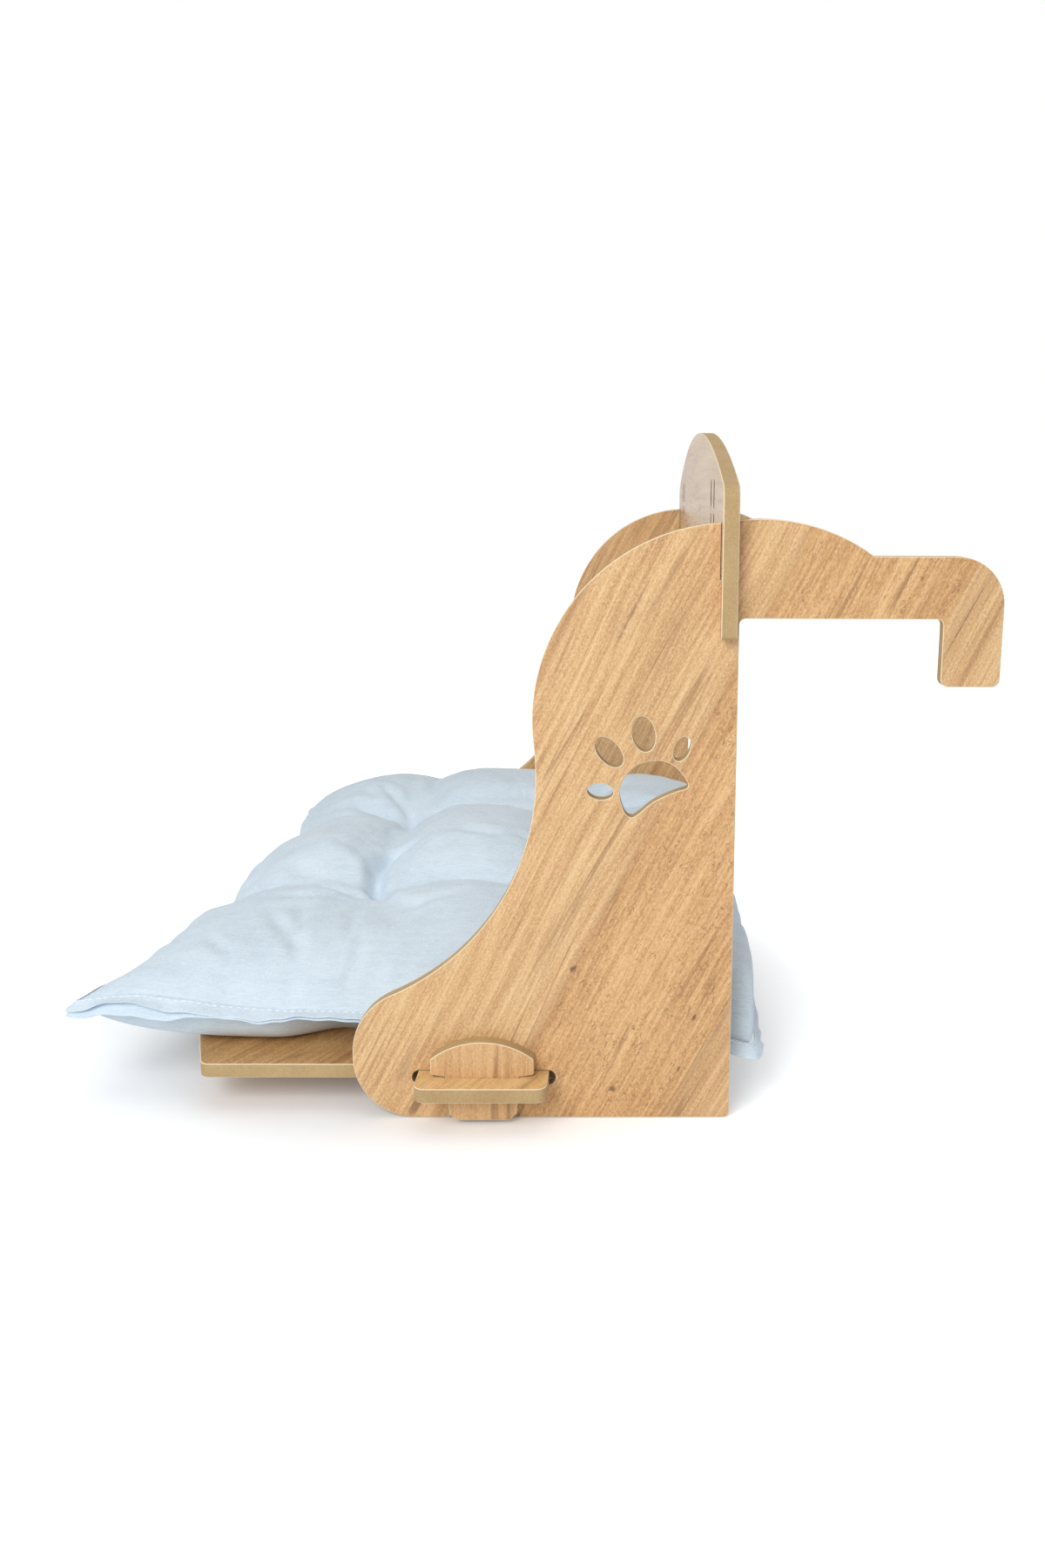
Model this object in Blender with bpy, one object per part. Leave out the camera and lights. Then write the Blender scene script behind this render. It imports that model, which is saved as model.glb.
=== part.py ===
"""Radiator cat bed: a flat-pack lounger that hooks over a panel radiator.

Two identical side panels carry a shelf board on through tenons, which are locked
outside the panels by tapered keys. An arched headboard drops into the tops of the
panels on cross laps. A tufted cushion lies on the shelf between the panels.

Metres. +X points at the radiator, +Y runs along it, +Z is up. The origin is on the
floor, below the middle of the whole bed. Panel outlines are drawn in (depth, height),
with depth 0 on the back edge that leans on the radiator and minus towards the room.
"""

import math

import bmesh
import bpy
from mathutils import Matrix, Vector

# Boards and fits
BOARD = 0.008                    # thickness of every board
FIT = 0.0003                     # gap between faces that seat on each other
ARRIS = 0.0004                   # small chamfer along the cut edges
ARC_TOLERANCE = 0.00004          # largest distance from an arc to its facets

# Overall sizes
INNER_WIDTH = 0.480              # clear width between the two side panels
BACK_HEIGHT = 0.270              # floor to the underside of the hook arms
PANEL_DEPTH = 0.2026             # back edge to the front of the toe

# Hook arm
HOOK_GAP = 0.102                 # back edge to hook tip, over the radiator
ARM_HEIGHT = 0.031
TIP_WIDTH = 0.030
TIP_DROP = 0.034
ARM_SHOULDER_RADIUS = 0.0243
TIP_CORNER_RADIUS = 0.004
INNER_CORNER_RADIUS = 0.003
FOOT_CORNER_RADIUS = 0.0035

# Round outline of the panel, from the crown down to the toe
CROWN_CENTRE_DEPTH = 0.0102
CROWN_CENTRE_BELOW_ARM = 0.0474  # below the underside of the hook arm
CROWN_RADIUS = 0.0963
HEAD_CENTRE_DEPTH = -0.0043
HEAD_CENTRE_BELOW_ARM = 0.0529
HEAD_RADIUS = 0.100
NECK_RADIUS = 0.1314             # hollow sweep that touches the head and the toe
TOE_RADIUS = 0.036
TOE_CENTRE_HEIGHT = 0.037
TOE_FOOT_RADIUS = 0.033          # where the toe turns in under itself

# Paw cut-out: toes as (depth, height from the paw's centre, half length, half width, tilt)
PAW_DEPTH = -0.0475
PAW_BELOW_HEAD = 0.033           # centre of the paw below the centre of the head
PAW_TOES = (
    (-0.0221, -0.0027, 0.0068, 0.0043, -5.0),
    (-0.0176, 0.0180, 0.0093, 0.0055, -50.0),
    (0.0000, 0.0273, 0.0093, 0.0059, -79.0),
    (0.0195, 0.0197, 0.0066, 0.0040, 68.0),
)
PAW_PAD = (
    (-0.0123, -0.0035), (-0.0099, 0.0042), (-0.0035, 0.0110), (0.0054, 0.0134),
    (0.0140, 0.0119), (0.0205, 0.0058), (0.0228, -0.0002), (0.0158, -0.0030),
    (0.0055, -0.0079), (-0.0026, -0.0145), (-0.0063, -0.0163), (-0.0099, -0.0132),
)
TOE_POINTS = 28                  # points round each toe of the paw
PAD_STEPS = 5                    # points along each stretch of the pad's curve

# Shelf board and its tabs
SHELF_UNDERSIDE = 0.0191
SHELF_REACH = 0.0844             # side edges run this far past the toe
SHELF_BULGE = 0.042              # the front edge bows out this much more
SHELF_REAR_SETBACK = 0.002
SHELF_CORNER_RADIUS = 0.006
TAB_WIDTH = 0.070
TAB_REACH = 0.0225               # past the outer face of the panel
TAB_CENTRE_FROM_TOE = 0.0701
TAB_CORNER_RADIUS = 0.006
SLOT_END_PLAY = 0.0038           # free length at each round end of the tenon slot

# Locking keys
KEY_HEAD_WIDTH = 0.0548
KEY_HEAD_SIDE = 0.0088           # straight side of the head
KEY_CROWN_RISE = 0.0096
KEY_SHOULDER_RELIEF = 0.0012     # the shoulders rise clear of the tab at their ends
KEY_STEM_WIDTH = 0.0396          # at the top face of the tab
KEY_STEM_TAPER = 0.0018          # each side, down to the end
KEY_STEM_LENGTH = 0.0248
KEY_END_CHAMFER = 0.0039
KEY_CORNER_RADIUS = 0.0012

# Headboard
HEADBOARD_SETBACK = 0.0018       # its rear face to the back edge of the panels
HEADBOARD_OVERHANG = 0.010       # each end past the outer face of its panel
HEADBOARD_DROP = 0.0094          # its lower edge below the underside of the arm
HEADBOARD_END_RISE = 0.064       # top of its straight ends above the arm's underside
HEADBOARD_ARCH_RISE = 0.035
HEADBOARD_SHOULDER_RADIUS = 0.008
HEADBOARD_FOOT_RADIUS = 0.002
LAP_RISE = 0.019                 # seat of the cross laps above the arm's underside
VENT_OFFSETS = (0.163, 0.187)    # short slots, from the middle of the board
VENT_WIDTH = 0.0055
VENT_ROWS = ((0.0440, 0.0500), (0.0535, 0.0680))   # ends above the arm's underside

# Cushion
CUSHION_LENGTH = 0.384
CUSHION_REAR_OVERHANG = 0.022    # past the back edge of the panels
CUSHION_SIDE_GAP = 0.0015        # to each side panel
CUSHION_TOP_RISE = 0.067         # crown above the seam
CUSHION_FRONT_SEAM = 0.0235      # seam above the shelf at the front
CUSHION_REAR_SEAM = 0.0085
CUSHION_FRONT_PULL = 0.150       # share by which the front draws in between its corners
CUSHION_REAR_PULL = 0.030
CUSHION_CORNER_LAG = 0.018       # the far front corner lies this much further back
CUSHION_SIDE_PULL = 0.020        # the same at the sides, which lie close to the panels
CUSHION_POWER = 3.2              # how square the crown is, seen from above
CUSHION_FRONT_SLOPE = 0.80       # 1 slopes gently from the crown, 0.3 stands upright
CUSHION_REAR_SLOPE = 0.30
CUSHION_SIDE_SLOPE = 0.36
CUSHION_BELLY_SLOPE = 0.50
CUSHION_BELLY_POWER = 8.0
CUSHION_FLANGE = 0.009           # flat sewn border
CUSHION_FLANGE_THICKNESS = 0.0024
TUFT_DEPTH = 0.62                # share of the crown that a tuft pulls down
TUFT_RADIUS = 0.030
CHANNEL_DEPTH = 0.16             # soft valleys that join the tufts
CHANNEL_RADIUS = 0.024
CELLS_PER_THIRD = 7

# Sizes that follow from the ones above
ARM_TOP = BACK_HEIGHT + ARM_HEIGHT
HOOK_OUTER = HOOK_GAP + TIP_WIDTH
INNER_FACE = INNER_WIDTH / 2
OUTER_FACE = INNER_FACE + BOARD
SHELF_TOP = SHELF_UNDERSIDE + BOARD
TAB_CENTRE = -PANEL_DEPTH + TAB_CENTRE_FROM_TOE
LAP_HEIGHT = BACK_HEIGHT + LAP_RISE
HEADBOARD_REAR = -HEADBOARD_SETBACK
HEADBOARD_FRONT = HEADBOARD_REAR - BOARD
CUSHION_REAR = CUSHION_REAR_OVERHANG
CUSHION_FRONT = CUSHION_REAR - CUSHION_LENGTH
BACK_EDGE_X = -(CUSHION_FRONT + HOOK_OUTER) / 2   # puts the origin below the middle

FOIL_COLOUR = (0.62, 0.40, 0.21)
COTTON_COLOUR = (0.62, 0.72, 0.80)


def clear_scene():
    """Remove every object that the new file starts with."""
    for item in list(bpy.data.objects):
        bpy.data.objects.remove(item, do_unlink=True)


def finish(name, colour, roughness):
    """A plain surface for one piece."""
    surface = bpy.data.materials.new(name + "_finish")
    surface.use_nodes = True
    shader = surface.node_tree.nodes["Principled BSDF"]
    shader.inputs["Base Color"].default_value = (*colour, 1.0)
    shader.inputs["Roughness"].default_value = roughness
    shader.inputs["Metallic"].default_value = 0.0
    return surface


def arc(centre, radius, start, end):
    """Points on an arc between two angles in radians, close enough to look round."""
    step = 2 * math.acos(1 - ARC_TOLERANCE / radius)
    count = max(2, math.ceil(abs(end - start) / step))
    points = []
    for index in range(count + 1):
        angle = start + (end - start) * index / count
        points.append((centre[0] + radius * math.cos(angle), centre[1] + radius * math.sin(angle)))
    return points


def angle_of(centre, point):
    """Direction from a centre to a point, in radians from 0 to a full turn."""
    return math.atan2(point[1] - centre[1], point[0] - centre[0]) % (2 * math.pi)


def on_arc_at(centre, radius, depth):
    """The upper point of a circle at one depth."""
    return (depth, centre[1] + math.sqrt(radius ** 2 - (depth - centre[0]) ** 2))


def rounded(corners):
    """Outline through (x, y, radius) corners, each rounded between its neighbours."""
    outline = []
    total = len(corners)
    for index, (x, y, radius) in enumerate(corners):
        corner = Vector((x, y))
        if radius == 0:
            outline.append((x, y))
            continue
        before = (Vector(corners[index - 1][:2]) - corner).normalized()
        after = (Vector(corners[(index + 1) % total][:2]) - corner).normalized()
        half = before.angle(after) / 2
        centre = corner + (before + after).normalized() * radius / math.sin(half)
        tangent = radius / math.tan(half)
        start = angle_of(centre, corner + before * tangent)
        end = angle_of(centre, corner + after * tangent)
        turn = (end - start + math.pi) % (2 * math.pi) - math.pi
        outline.extend(arc(centre, radius, start, start + turn))
    return outline


def sharp(points):
    """Corners with no rounding."""
    return [(x, y, 0) for x, y in points]


def ellipse(centre, half_length, half_width, tilt):
    """Points round an ellipse whose long axis is tilted, in degrees."""
    turn = math.radians(tilt)
    points = []
    for index in range(TOE_POINTS):
        angle = 2 * math.pi * index / TOE_POINTS
        along = half_length * math.cos(angle)
        across = half_width * math.sin(angle)
        x = centre[0] + along * math.cos(turn) - across * math.sin(turn)
        y = centre[1] + along * math.sin(turn) + across * math.cos(turn)
        points.append((x, y))
    return points


def closed_curve(points, steps):
    """A smooth closed curve through the given points."""
    total = len(points)
    outline = []
    for index in range(total):
        a, b, c, d = (Vector(points[(index + shift) % total]) for shift in (-1, 0, 1, 2))
        for step in range(steps):
            t = step / steps
            outline.append(tuple(0.5 * (
                2 * b + (c - a) * t
                + (2 * a - 5 * b + 4 * c - d) * t ** 2
                + (3 * b - a - 3 * c + d) * t ** 3
            )))
    return outline


def stadium(centre, length, height):
    """A slot with round ends, lying along the first axis unless it is taller than long."""
    radius = min(length, height) / 2
    half_x = length / 2
    half_y = height / 2
    return rounded([
        (centre[0] - half_x, centre[1] - half_y, radius * 0.999),
        (centre[0] + half_x, centre[1] - half_y, radius * 0.999),
        (centre[0] + half_x, centre[1] + half_y, radius * 0.999),
        (centre[0] - half_x, centre[1] + half_y, radius * 0.999),
    ])


def signed_area(loop):
    """Area of a loop, positive where it runs anticlockwise."""
    total = 0.0
    for index, (x, y) in enumerate(loop):
        last_x, last_y = loop[index - 1]
        total += last_x * y - x * last_y
    return total / 2


def inset(loop, distance):
    """The loop moved to its left by a distance, for the chamfer along an edge."""
    moved = []
    total = len(loop)
    for index in range(total):
        here = Vector(loop[index])
        into = (here - Vector(loop[index - 1])).normalized()
        out = (Vector(loop[(index + 1) % total]) - here).normalized()
        left = Vector((-into.y, into.x)) + Vector((-out.y, out.x))
        left.normalize()
        share = max(0.5, left.dot(Vector((-into.y, into.x))))
        moved.append(tuple(here + left * distance / share))
    return moved


def board_mesh(name, outer, holes=()):
    """A board in its own XY plane from z 0 to BOARD, with chamfered edges and holes."""
    shape = bmesh.new()
    caps = ([], [])
    loops = [outer if signed_area(outer) > 0 else outer[::-1]]
    for hole in holes:
        loops.append(hole if signed_area(hole) < 0 else hole[::-1])
    for loop in loops:
        drawn_in = inset(loop, ARRIS)
        levels = ((drawn_in, 0), (loop, ARRIS), (loop, BOARD - ARRIS), (drawn_in, BOARD))
        rings = []
        for points, height in levels:
            rings.append([shape.verts.new((x, y, height)) for x, y in points])
        for lower, upper in zip(rings, rings[1:]):
            for index in range(len(loop)):
                after = (index + 1) % len(loop)
                shape.faces.new((lower[index], lower[after], upper[after], upper[index]))
        for cap, ring in zip(caps, (rings[0], rings[-1])):
            for index, corner in enumerate(ring):
                cap.append(shape.edges.get((ring[index - 1], corner)))
    for edges in caps:
        bmesh.ops.triangle_fill(shape, use_beauty=True, use_dissolve=False, edges=edges)
    bmesh.ops.recalc_face_normals(shape, faces=shape.faces)
    mesh = bpy.data.meshes.new(name)
    shape.to_mesh(mesh)
    shape.free()
    return mesh


def place(name, mesh, placement, surface, sharp_angle=30):
    """Put a mesh into the scene as one named piece."""
    piece = bpy.data.objects.new(name, mesh)
    bpy.context.scene.collection.objects.link(piece)
    piece.matrix_world = placement
    mesh.materials.append(surface)
    mesh.shade_smooth()
    mesh.set_sharp_from_angle(angle=math.radians(sharp_angle))
    return piece


def standing_along_x(depth_origin, face_y, height_origin=0.0):
    """Drawing plane to world for boards in the XZ plane, thickness towards minus Y."""
    turn = Matrix(((1, 0, 0, 0), (0, 0, -1, 0), (0, 1, 0, 0), (0, 0, 0, 1)))
    return Matrix.Translation((depth_origin, face_y, height_origin)) @ turn


def standing_along_y(face_x, height_origin):
    """Drawing plane to world for boards in the YZ plane, thickness towards plus X."""
    turn = Matrix(((0, 0, 1, 0), (1, 0, 0, 0), (0, 1, 0, 0), (0, 0, 0, 1)))
    return Matrix.Translation((face_x, 0.0, height_origin)) @ turn


def neck_centre(head, toe):
    """Centre of the hollow sweep that touches the head and the toe circles."""
    to_head = NECK_RADIUS + HEAD_RADIUS
    to_toe = NECK_RADIUS + TOE_RADIUS
    span = Vector(toe) - Vector(head)
    along = (to_head ** 2 - to_toe ** 2 + span.length ** 2) / (2 * span.length)
    aside = math.sqrt(to_head ** 2 - along ** 2)
    direction = span.normalized()
    outward = Vector((direction.y, -direction.x))
    return tuple(Vector(head) + direction * along + outward * aside)


def panel_outline():
    """Side panel seen from -Y: foot, hook arm, crown, lap slot, head, neck and toe."""
    head = (HEAD_CENTRE_DEPTH, BACK_HEIGHT - HEAD_CENTRE_BELOW_ARM)
    crown = (CROWN_CENTRE_DEPTH, BACK_HEIGHT - CROWN_CENTRE_BELOW_ARM)
    toe = (-PANEL_DEPTH + TOE_RADIUS, TOE_CENTRE_HEIGHT)
    neck = neck_centre(head, toe)
    slot_rear = HEADBOARD_REAR + FIT
    slot_front = HEADBOARD_FRONT - FIT
    arm_meets_crown = math.sqrt(CROWN_RADIUS ** 2 - (ARM_TOP - crown[1]) ** 2)

    corners = [
        (0.0, 0.0, FOOT_CORNER_RADIUS),
        (0.0, BACK_HEIGHT, INNER_CORNER_RADIUS),
        (HOOK_GAP, BACK_HEIGHT, INNER_CORNER_RADIUS),
        (HOOK_GAP, BACK_HEIGHT - TIP_DROP, TIP_CORNER_RADIUS),
        (HOOK_OUTER, BACK_HEIGHT - TIP_DROP, TIP_CORNER_RADIUS),
        (HOOK_OUTER, ARM_TOP, ARM_SHOULDER_RADIUS),
    ]
    crown_start = math.atan2(ARM_TOP - crown[1], arm_meets_crown)
    crown_end = angle_of(crown, on_arc_at(crown, CROWN_RADIUS, slot_rear))
    corners += sharp(arc(crown, CROWN_RADIUS, crown_start, crown_end))
    corners += sharp([(slot_rear, LAP_HEIGHT), (slot_front, LAP_HEIGHT)])
    head_start = angle_of(head, on_arc_at(head, HEAD_RADIUS, slot_front))
    head_end = angle_of(head, neck)
    corners += sharp(arc(head, HEAD_RADIUS, head_start, head_end))
    neck_start = angle_of(neck, head)
    neck_end = angle_of(neck, toe)
    turn = (neck_end - neck_start + math.pi) % (2 * math.pi) - math.pi
    corners += sharp(arc(neck, NECK_RADIUS, neck_start, neck_start + turn)[1:])
    toe_start = angle_of(toe, neck)
    corners += sharp(arc(toe, TOE_RADIUS, toe_start, math.pi)[1:])
    corners.append((-PANEL_DEPTH, 0.0, TOE_FOOT_RADIUS))
    return rounded(corners)


def panel_holes():
    """Paw cut-out and the tenon slot of a side panel."""
    paw = (PAW_DEPTH, BACK_HEIGHT - HEAD_CENTRE_BELOW_ARM - PAW_BELOW_HEAD)
    holes = []
    for depth, height, half_length, half_width, tilt in PAW_TOES:
        holes.append(ellipse((paw[0] + depth, paw[1] + height), half_length, half_width, tilt))
    holes.append(closed_curve([(paw[0] + x, paw[1] + y) for x, y in PAW_PAD], PAD_STEPS))
    slot_length = TAB_WIDTH + 2 * SLOT_END_PLAY
    slot_height = BOARD + 2 * FIT
    holes.append(stadium((TAB_CENTRE, SHELF_UNDERSIDE + BOARD / 2), slot_length, slot_height))
    return holes


def build_panels():
    """Both side panels share one outline, as they are cut from one pattern."""
    outline = panel_outline()
    holes = panel_holes()
    for name, face_y in (("near_side_panel", -INNER_FACE), ("far_side_panel", OUTER_FACE)):
        mesh = board_mesh(name, outline, holes)
        placement = standing_along_x(BACK_EDGE_X, face_y)
        place(name, mesh, placement, finish(name, FOIL_COLOUR, 0.42))


def shelf_outline():
    """Shelf seen from above: bowed front, straight sides with a tab, straight rear."""
    side = INNER_FACE - FIT
    front = -PANEL_DEPTH - SHELF_REACH
    rear = -SHELF_REAR_SETBACK
    tab_end = OUTER_FACE + TAB_REACH
    tab_front = TAB_CENTRE - TAB_WIDTH / 2
    tab_rear = TAB_CENTRE + TAB_WIDTH / 2
    bow_radius = (side ** 2 + SHELF_BULGE ** 2) / (2 * SHELF_BULGE)
    bow_centre = (front - SHELF_BULGE + bow_radius, 0.0)
    spread = math.asin((side - SHELF_CORNER_RADIUS) / bow_radius)

    corners = [
        (rear, -side, INNER_CORNER_RADIUS),
        (rear, side, INNER_CORNER_RADIUS),
        (tab_rear, side, 0),
        (tab_rear, tab_end, TAB_CORNER_RADIUS),
        (tab_front, tab_end, TAB_CORNER_RADIUS),
        (tab_front, side, 0),
        (front, side, SHELF_CORNER_RADIUS),
    ]
    corners += sharp(arc(bow_centre, bow_radius, math.pi - spread, math.pi + spread))
    corners += [
        (front, -side, SHELF_CORNER_RADIUS),
        (tab_front, -side, 0),
        (tab_front, -tab_end, TAB_CORNER_RADIUS),
        (tab_rear, -tab_end, TAB_CORNER_RADIUS),
        (tab_rear, -side, 0),
    ]
    return rounded(corners)


def key_slot(side):
    """Mortise through a tab, just outside the panel on one side (-1 near, +1 far)."""
    half_width = KEY_STEM_WIDTH / 2 + FIT
    inner = OUTER_FACE - FIT
    outer = OUTER_FACE + BOARD + 2 * FIT
    return [
        (TAB_CENTRE - half_width, side * inner),
        (TAB_CENTRE + half_width, side * inner),
        (TAB_CENTRE + half_width, side * outer),
        (TAB_CENTRE - half_width, side * outer),
    ]


def build_shelf():
    """Shelf board with one locked tab at each side."""
    mesh = board_mesh("shelf_board", shelf_outline(), (key_slot(-1), key_slot(1)))
    placement = Matrix.Translation((BACK_EDGE_X, 0.0, SHELF_UNDERSIDE))
    place("shelf_board", mesh, placement, finish("shelf_board", FOIL_COLOUR, 0.42))


def key_outline():
    """Tapered key with a domed head, drawn about the top face of the tab."""
    seat = FIT
    half_head = KEY_HEAD_WIDTH / 2
    half_stem = KEY_STEM_WIDTH / 2
    side_top = seat + KEY_SHOULDER_RELIEF + KEY_HEAD_SIDE
    dome_radius = (half_head ** 2 + KEY_CROWN_RISE ** 2) / (2 * KEY_CROWN_RISE)
    dome_centre = (0.0, side_top + KEY_CROWN_RISE - dome_radius)
    dome_start = math.asin((side_top - dome_centre[1]) / dome_radius)
    dome = arc(dome_centre, dome_radius, dome_start, math.pi - dome_start)
    foot = half_stem - KEY_STEM_TAPER
    bottom = -KEY_STEM_LENGTH

    corners = [
        (-half_head, seat + KEY_SHOULDER_RELIEF, KEY_CORNER_RADIUS),
        (-half_stem, seat, 0),
        (-foot, bottom + KEY_END_CHAMFER, 0),
        (-foot + KEY_END_CHAMFER, bottom, 0),
        (foot - KEY_END_CHAMFER, bottom, 0),
        (foot, bottom + KEY_END_CHAMFER, 0),
        (half_stem, seat, 0),
        (half_head, seat + KEY_SHOULDER_RELIEF, KEY_CORNER_RADIUS),
        (*dome[0], KEY_CORNER_RADIUS),
    ]
    corners += sharp(dome[1:-1])
    corners.append((*dome[-1], KEY_CORNER_RADIUS))
    return rounded(corners)


def build_keys():
    """One key at each side, standing in its tab against the panel's outer face."""
    outline = key_outline()
    near_face = -OUTER_FACE - FIT
    far_face = OUTER_FACE + FIT + BOARD
    for name, face_y in (("near_wedge_key", near_face), ("far_wedge_key", far_face)):
        mesh = board_mesh(name, outline)
        placement = standing_along_x(BACK_EDGE_X + TAB_CENTRE, face_y, SHELF_TOP)
        place(name, mesh, placement, finish(name, FOIL_COLOUR, 0.42))


def headboard_outline():
    """Headboard seen from +X, drawn about its lower edge, with a lap slot per panel."""
    half_length = OUTER_FACE + HEADBOARD_OVERHANG
    end_top = HEADBOARD_DROP + HEADBOARD_END_RISE
    lap_top = HEADBOARD_DROP + LAP_RISE + FIT
    slot_inner = INNER_FACE - FIT
    slot_outer = OUTER_FACE + FIT
    arch_radius = (half_length ** 2 + HEADBOARD_ARCH_RISE ** 2) / (2 * HEADBOARD_ARCH_RISE)
    arch_centre = (0.0, end_top + HEADBOARD_ARCH_RISE - arch_radius)
    arch_start = math.asin((end_top - arch_centre[1]) / arch_radius)
    arch = arc(arch_centre, arch_radius, arch_start, math.pi - arch_start)

    right_foot = [
        (slot_inner, 0.0, 0),
        (slot_inner, lap_top, 0),
        (slot_outer, lap_top, 0),
        (slot_outer, 0.0, 0),
        (half_length, 0.0, HEADBOARD_FOOT_RADIUS),
    ]
    left_foot = [(-x, y, radius) for x, y, radius in reversed(right_foot)]
    corners = right_foot
    corners += [(*arch[0], HEADBOARD_SHOULDER_RADIUS)]
    corners += sharp(arch[2:-2])
    corners += [(*arch[-1], HEADBOARD_SHOULDER_RADIUS)]
    corners += left_foot
    return rounded(corners)


def headboard_vents():
    """Short upright slots in two rows, alike at both ends of the headboard."""
    vents = []
    for side in (-1, 1):
        for offset in VENT_OFFSETS:
            for low, high in VENT_ROWS:
                centre = (side * offset, HEADBOARD_DROP + (low + high) / 2)
                vents.append(stadium(centre, VENT_WIDTH, high - low))
    return vents


def build_headboard():
    """Arched board that drops over both panels."""
    mesh = board_mesh("headboard", headboard_outline(), headboard_vents())
    placement = standing_along_y(BACK_EDGE_X + HEADBOARD_FRONT, BACK_HEIGHT - HEADBOARD_DROP)
    place("headboard", mesh, placement, finish("headboard", FOIL_COLOUR, 0.30))


def cushion_stations(half_size):
    """Grid positions from -1 to 1: one flange cell, then three thirds between tufts."""
    inner = 1 - CUSHION_FLANGE / half_size
    stations = [-1.0]
    total = 3 * CELLS_PER_THIRD
    for index in range(total + 1):
        even = 2 * index / total - 1
        stations.append(inner * even)
    stations.append(1.0)
    return stations, inner


def crown_share(u, v):
    """Share of the full crown over the square, 1 in the middle and 0 on its edges."""
    end_slope = CUSHION_FRONT_SLOPE if u < 0 else CUSHION_REAR_SLOPE
    along = max(0.0, 1 - abs(u) ** CUSHION_POWER) ** end_slope
    across = max(0.0, 1 - abs(v) ** CUSHION_POWER) ** CUSHION_SIDE_SLOPE
    return along * across


def belly_share(u, v):
    """Share of the drop from the seam to the shelf, 1 where the cushion lies flat."""
    along = max(0.0, 1 - abs(u) ** CUSHION_BELLY_POWER)
    across = max(0.0, 1 - abs(v) ** CUSHION_BELLY_POWER)
    return (along * across) ** CUSHION_BELLY_SLOPE


def tuft_share(x, y, tuft_x, tuft_y):
    """How much of the crown the tufts and the valleys between them take away."""
    pull = 0.0
    valley = 0.0
    for line_x in (-tuft_x, tuft_x):
        valley = max(valley, math.exp(-((x - line_x) / CHANNEL_RADIUS) ** 2))
        for line_y in (-tuft_y, tuft_y):
            away = math.hypot(x - line_x, y - line_y)
            pull = max(pull, math.exp(-(away / TUFT_RADIUS) ** 1.4))
    for line_y in (-tuft_y, tuft_y):
        valley = max(valley, math.exp(-((y - line_y) / CHANNEL_RADIUS) ** 2))
    return min(TUFT_DEPTH, TUFT_DEPTH * pull + CHANNEL_DEPTH * valley * (1 - pull))


def cushion_mesh():
    """Pillow about its own centre on the shelf: crowned top, flat base, sewn flange."""
    half_x = CUSHION_LENGTH / 2
    half_y = INNER_FACE - CUSHION_SIDE_GAP
    stations_x, inner_x = cushion_stations(half_x)
    stations_y, inner_y = cushion_stations(half_y)
    tuft_x = half_x * inner_x / 3
    tuft_y = half_y * inner_y / 3
    shape = bmesh.new()
    top = []
    base = []
    for u in stations_x:
        top_row = []
        base_row = []
        for v in stations_y:
            end_pull = CUSHION_FRONT_PULL if u < 0 else CUSHION_REAR_PULL
            x = half_x * u * (1 - end_pull * (1 - v * v) * u * u)
            x += CUSHION_CORNER_LAG * (1 - u) * (1 + v) / 4
            y = half_y * v * (1 - CUSHION_SIDE_PULL * (1 - u * u) * v * v)
            seam = CUSHION_FRONT_SEAM + (CUSHION_REAR_SEAM - CUSHION_FRONT_SEAM) * (u + 1) / 2
            su = max(-1.0, min(1.0, u / inner_x))
            sv = max(-1.0, min(1.0, v / inner_y))
            share = tuft_share(half_x * u, half_y * v, tuft_x, tuft_y)
            crown = CUSHION_TOP_RISE * crown_share(su, sv) * (1 - share)
            belly = (seam + FIT) * belly_share(su, sv)
            half_flange = CUSHION_FLANGE_THICKNESS / 2
            low = max(0.0, seam - half_flange - belly)
            top_row.append(shape.verts.new((x, y, seam + half_flange + crown)))
            base_row.append(shape.verts.new((x, y, low)))
        top.append(top_row)
        base.append(base_row)
    last_x = len(stations_x) - 1
    last_y = len(stations_y) - 1
    for i in range(last_x):
        for j in range(last_y):
            shape.faces.new((top[i][j], top[i + 1][j], top[i + 1][j + 1], top[i][j + 1]))
            shape.faces.new((base[i][j], base[i][j + 1], base[i + 1][j + 1], base[i + 1][j]))
    rim = [(i, 0) for i in range(last_x)]
    rim += [(last_x, j) for j in range(last_y)]
    rim += [(i, last_y) for i in range(last_x, 0, -1)]
    rim += [(0, j) for j in range(last_y, 0, -1)]
    for index, (i, j) in enumerate(rim):
        k, m = rim[(index + 1) % len(rim)]
        shape.faces.new((base[i][j], base[k][m], top[k][m], top[i][j]))
    bmesh.ops.recalc_face_normals(shape, faces=shape.faces)
    mesh = bpy.data.meshes.new("cushion")
    shape.to_mesh(mesh)
    shape.free()
    return mesh


def build_cushion():
    """Cushion on the shelf, with its corners past the shelf's front and rear."""
    middle = BACK_EDGE_X + (CUSHION_FRONT + CUSHION_REAR) / 2
    placement = Matrix.Translation((middle, 0.0, SHELF_TOP + FIT))
    place("cushion", cushion_mesh(), placement, finish("cushion", COTTON_COLOUR, 0.9), 60)


clear_scene()
build_panels()
build_shelf()
build_keys()
build_headboard()
build_cushion()
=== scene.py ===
"""Looks of the radiator cat bed: foil-faced boards, bare cut edges and a tufted cotton cushion."""

import math

import bmesh
import bpy
import numpy as np
from mathutils import Matrix, Vector, noise


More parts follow.
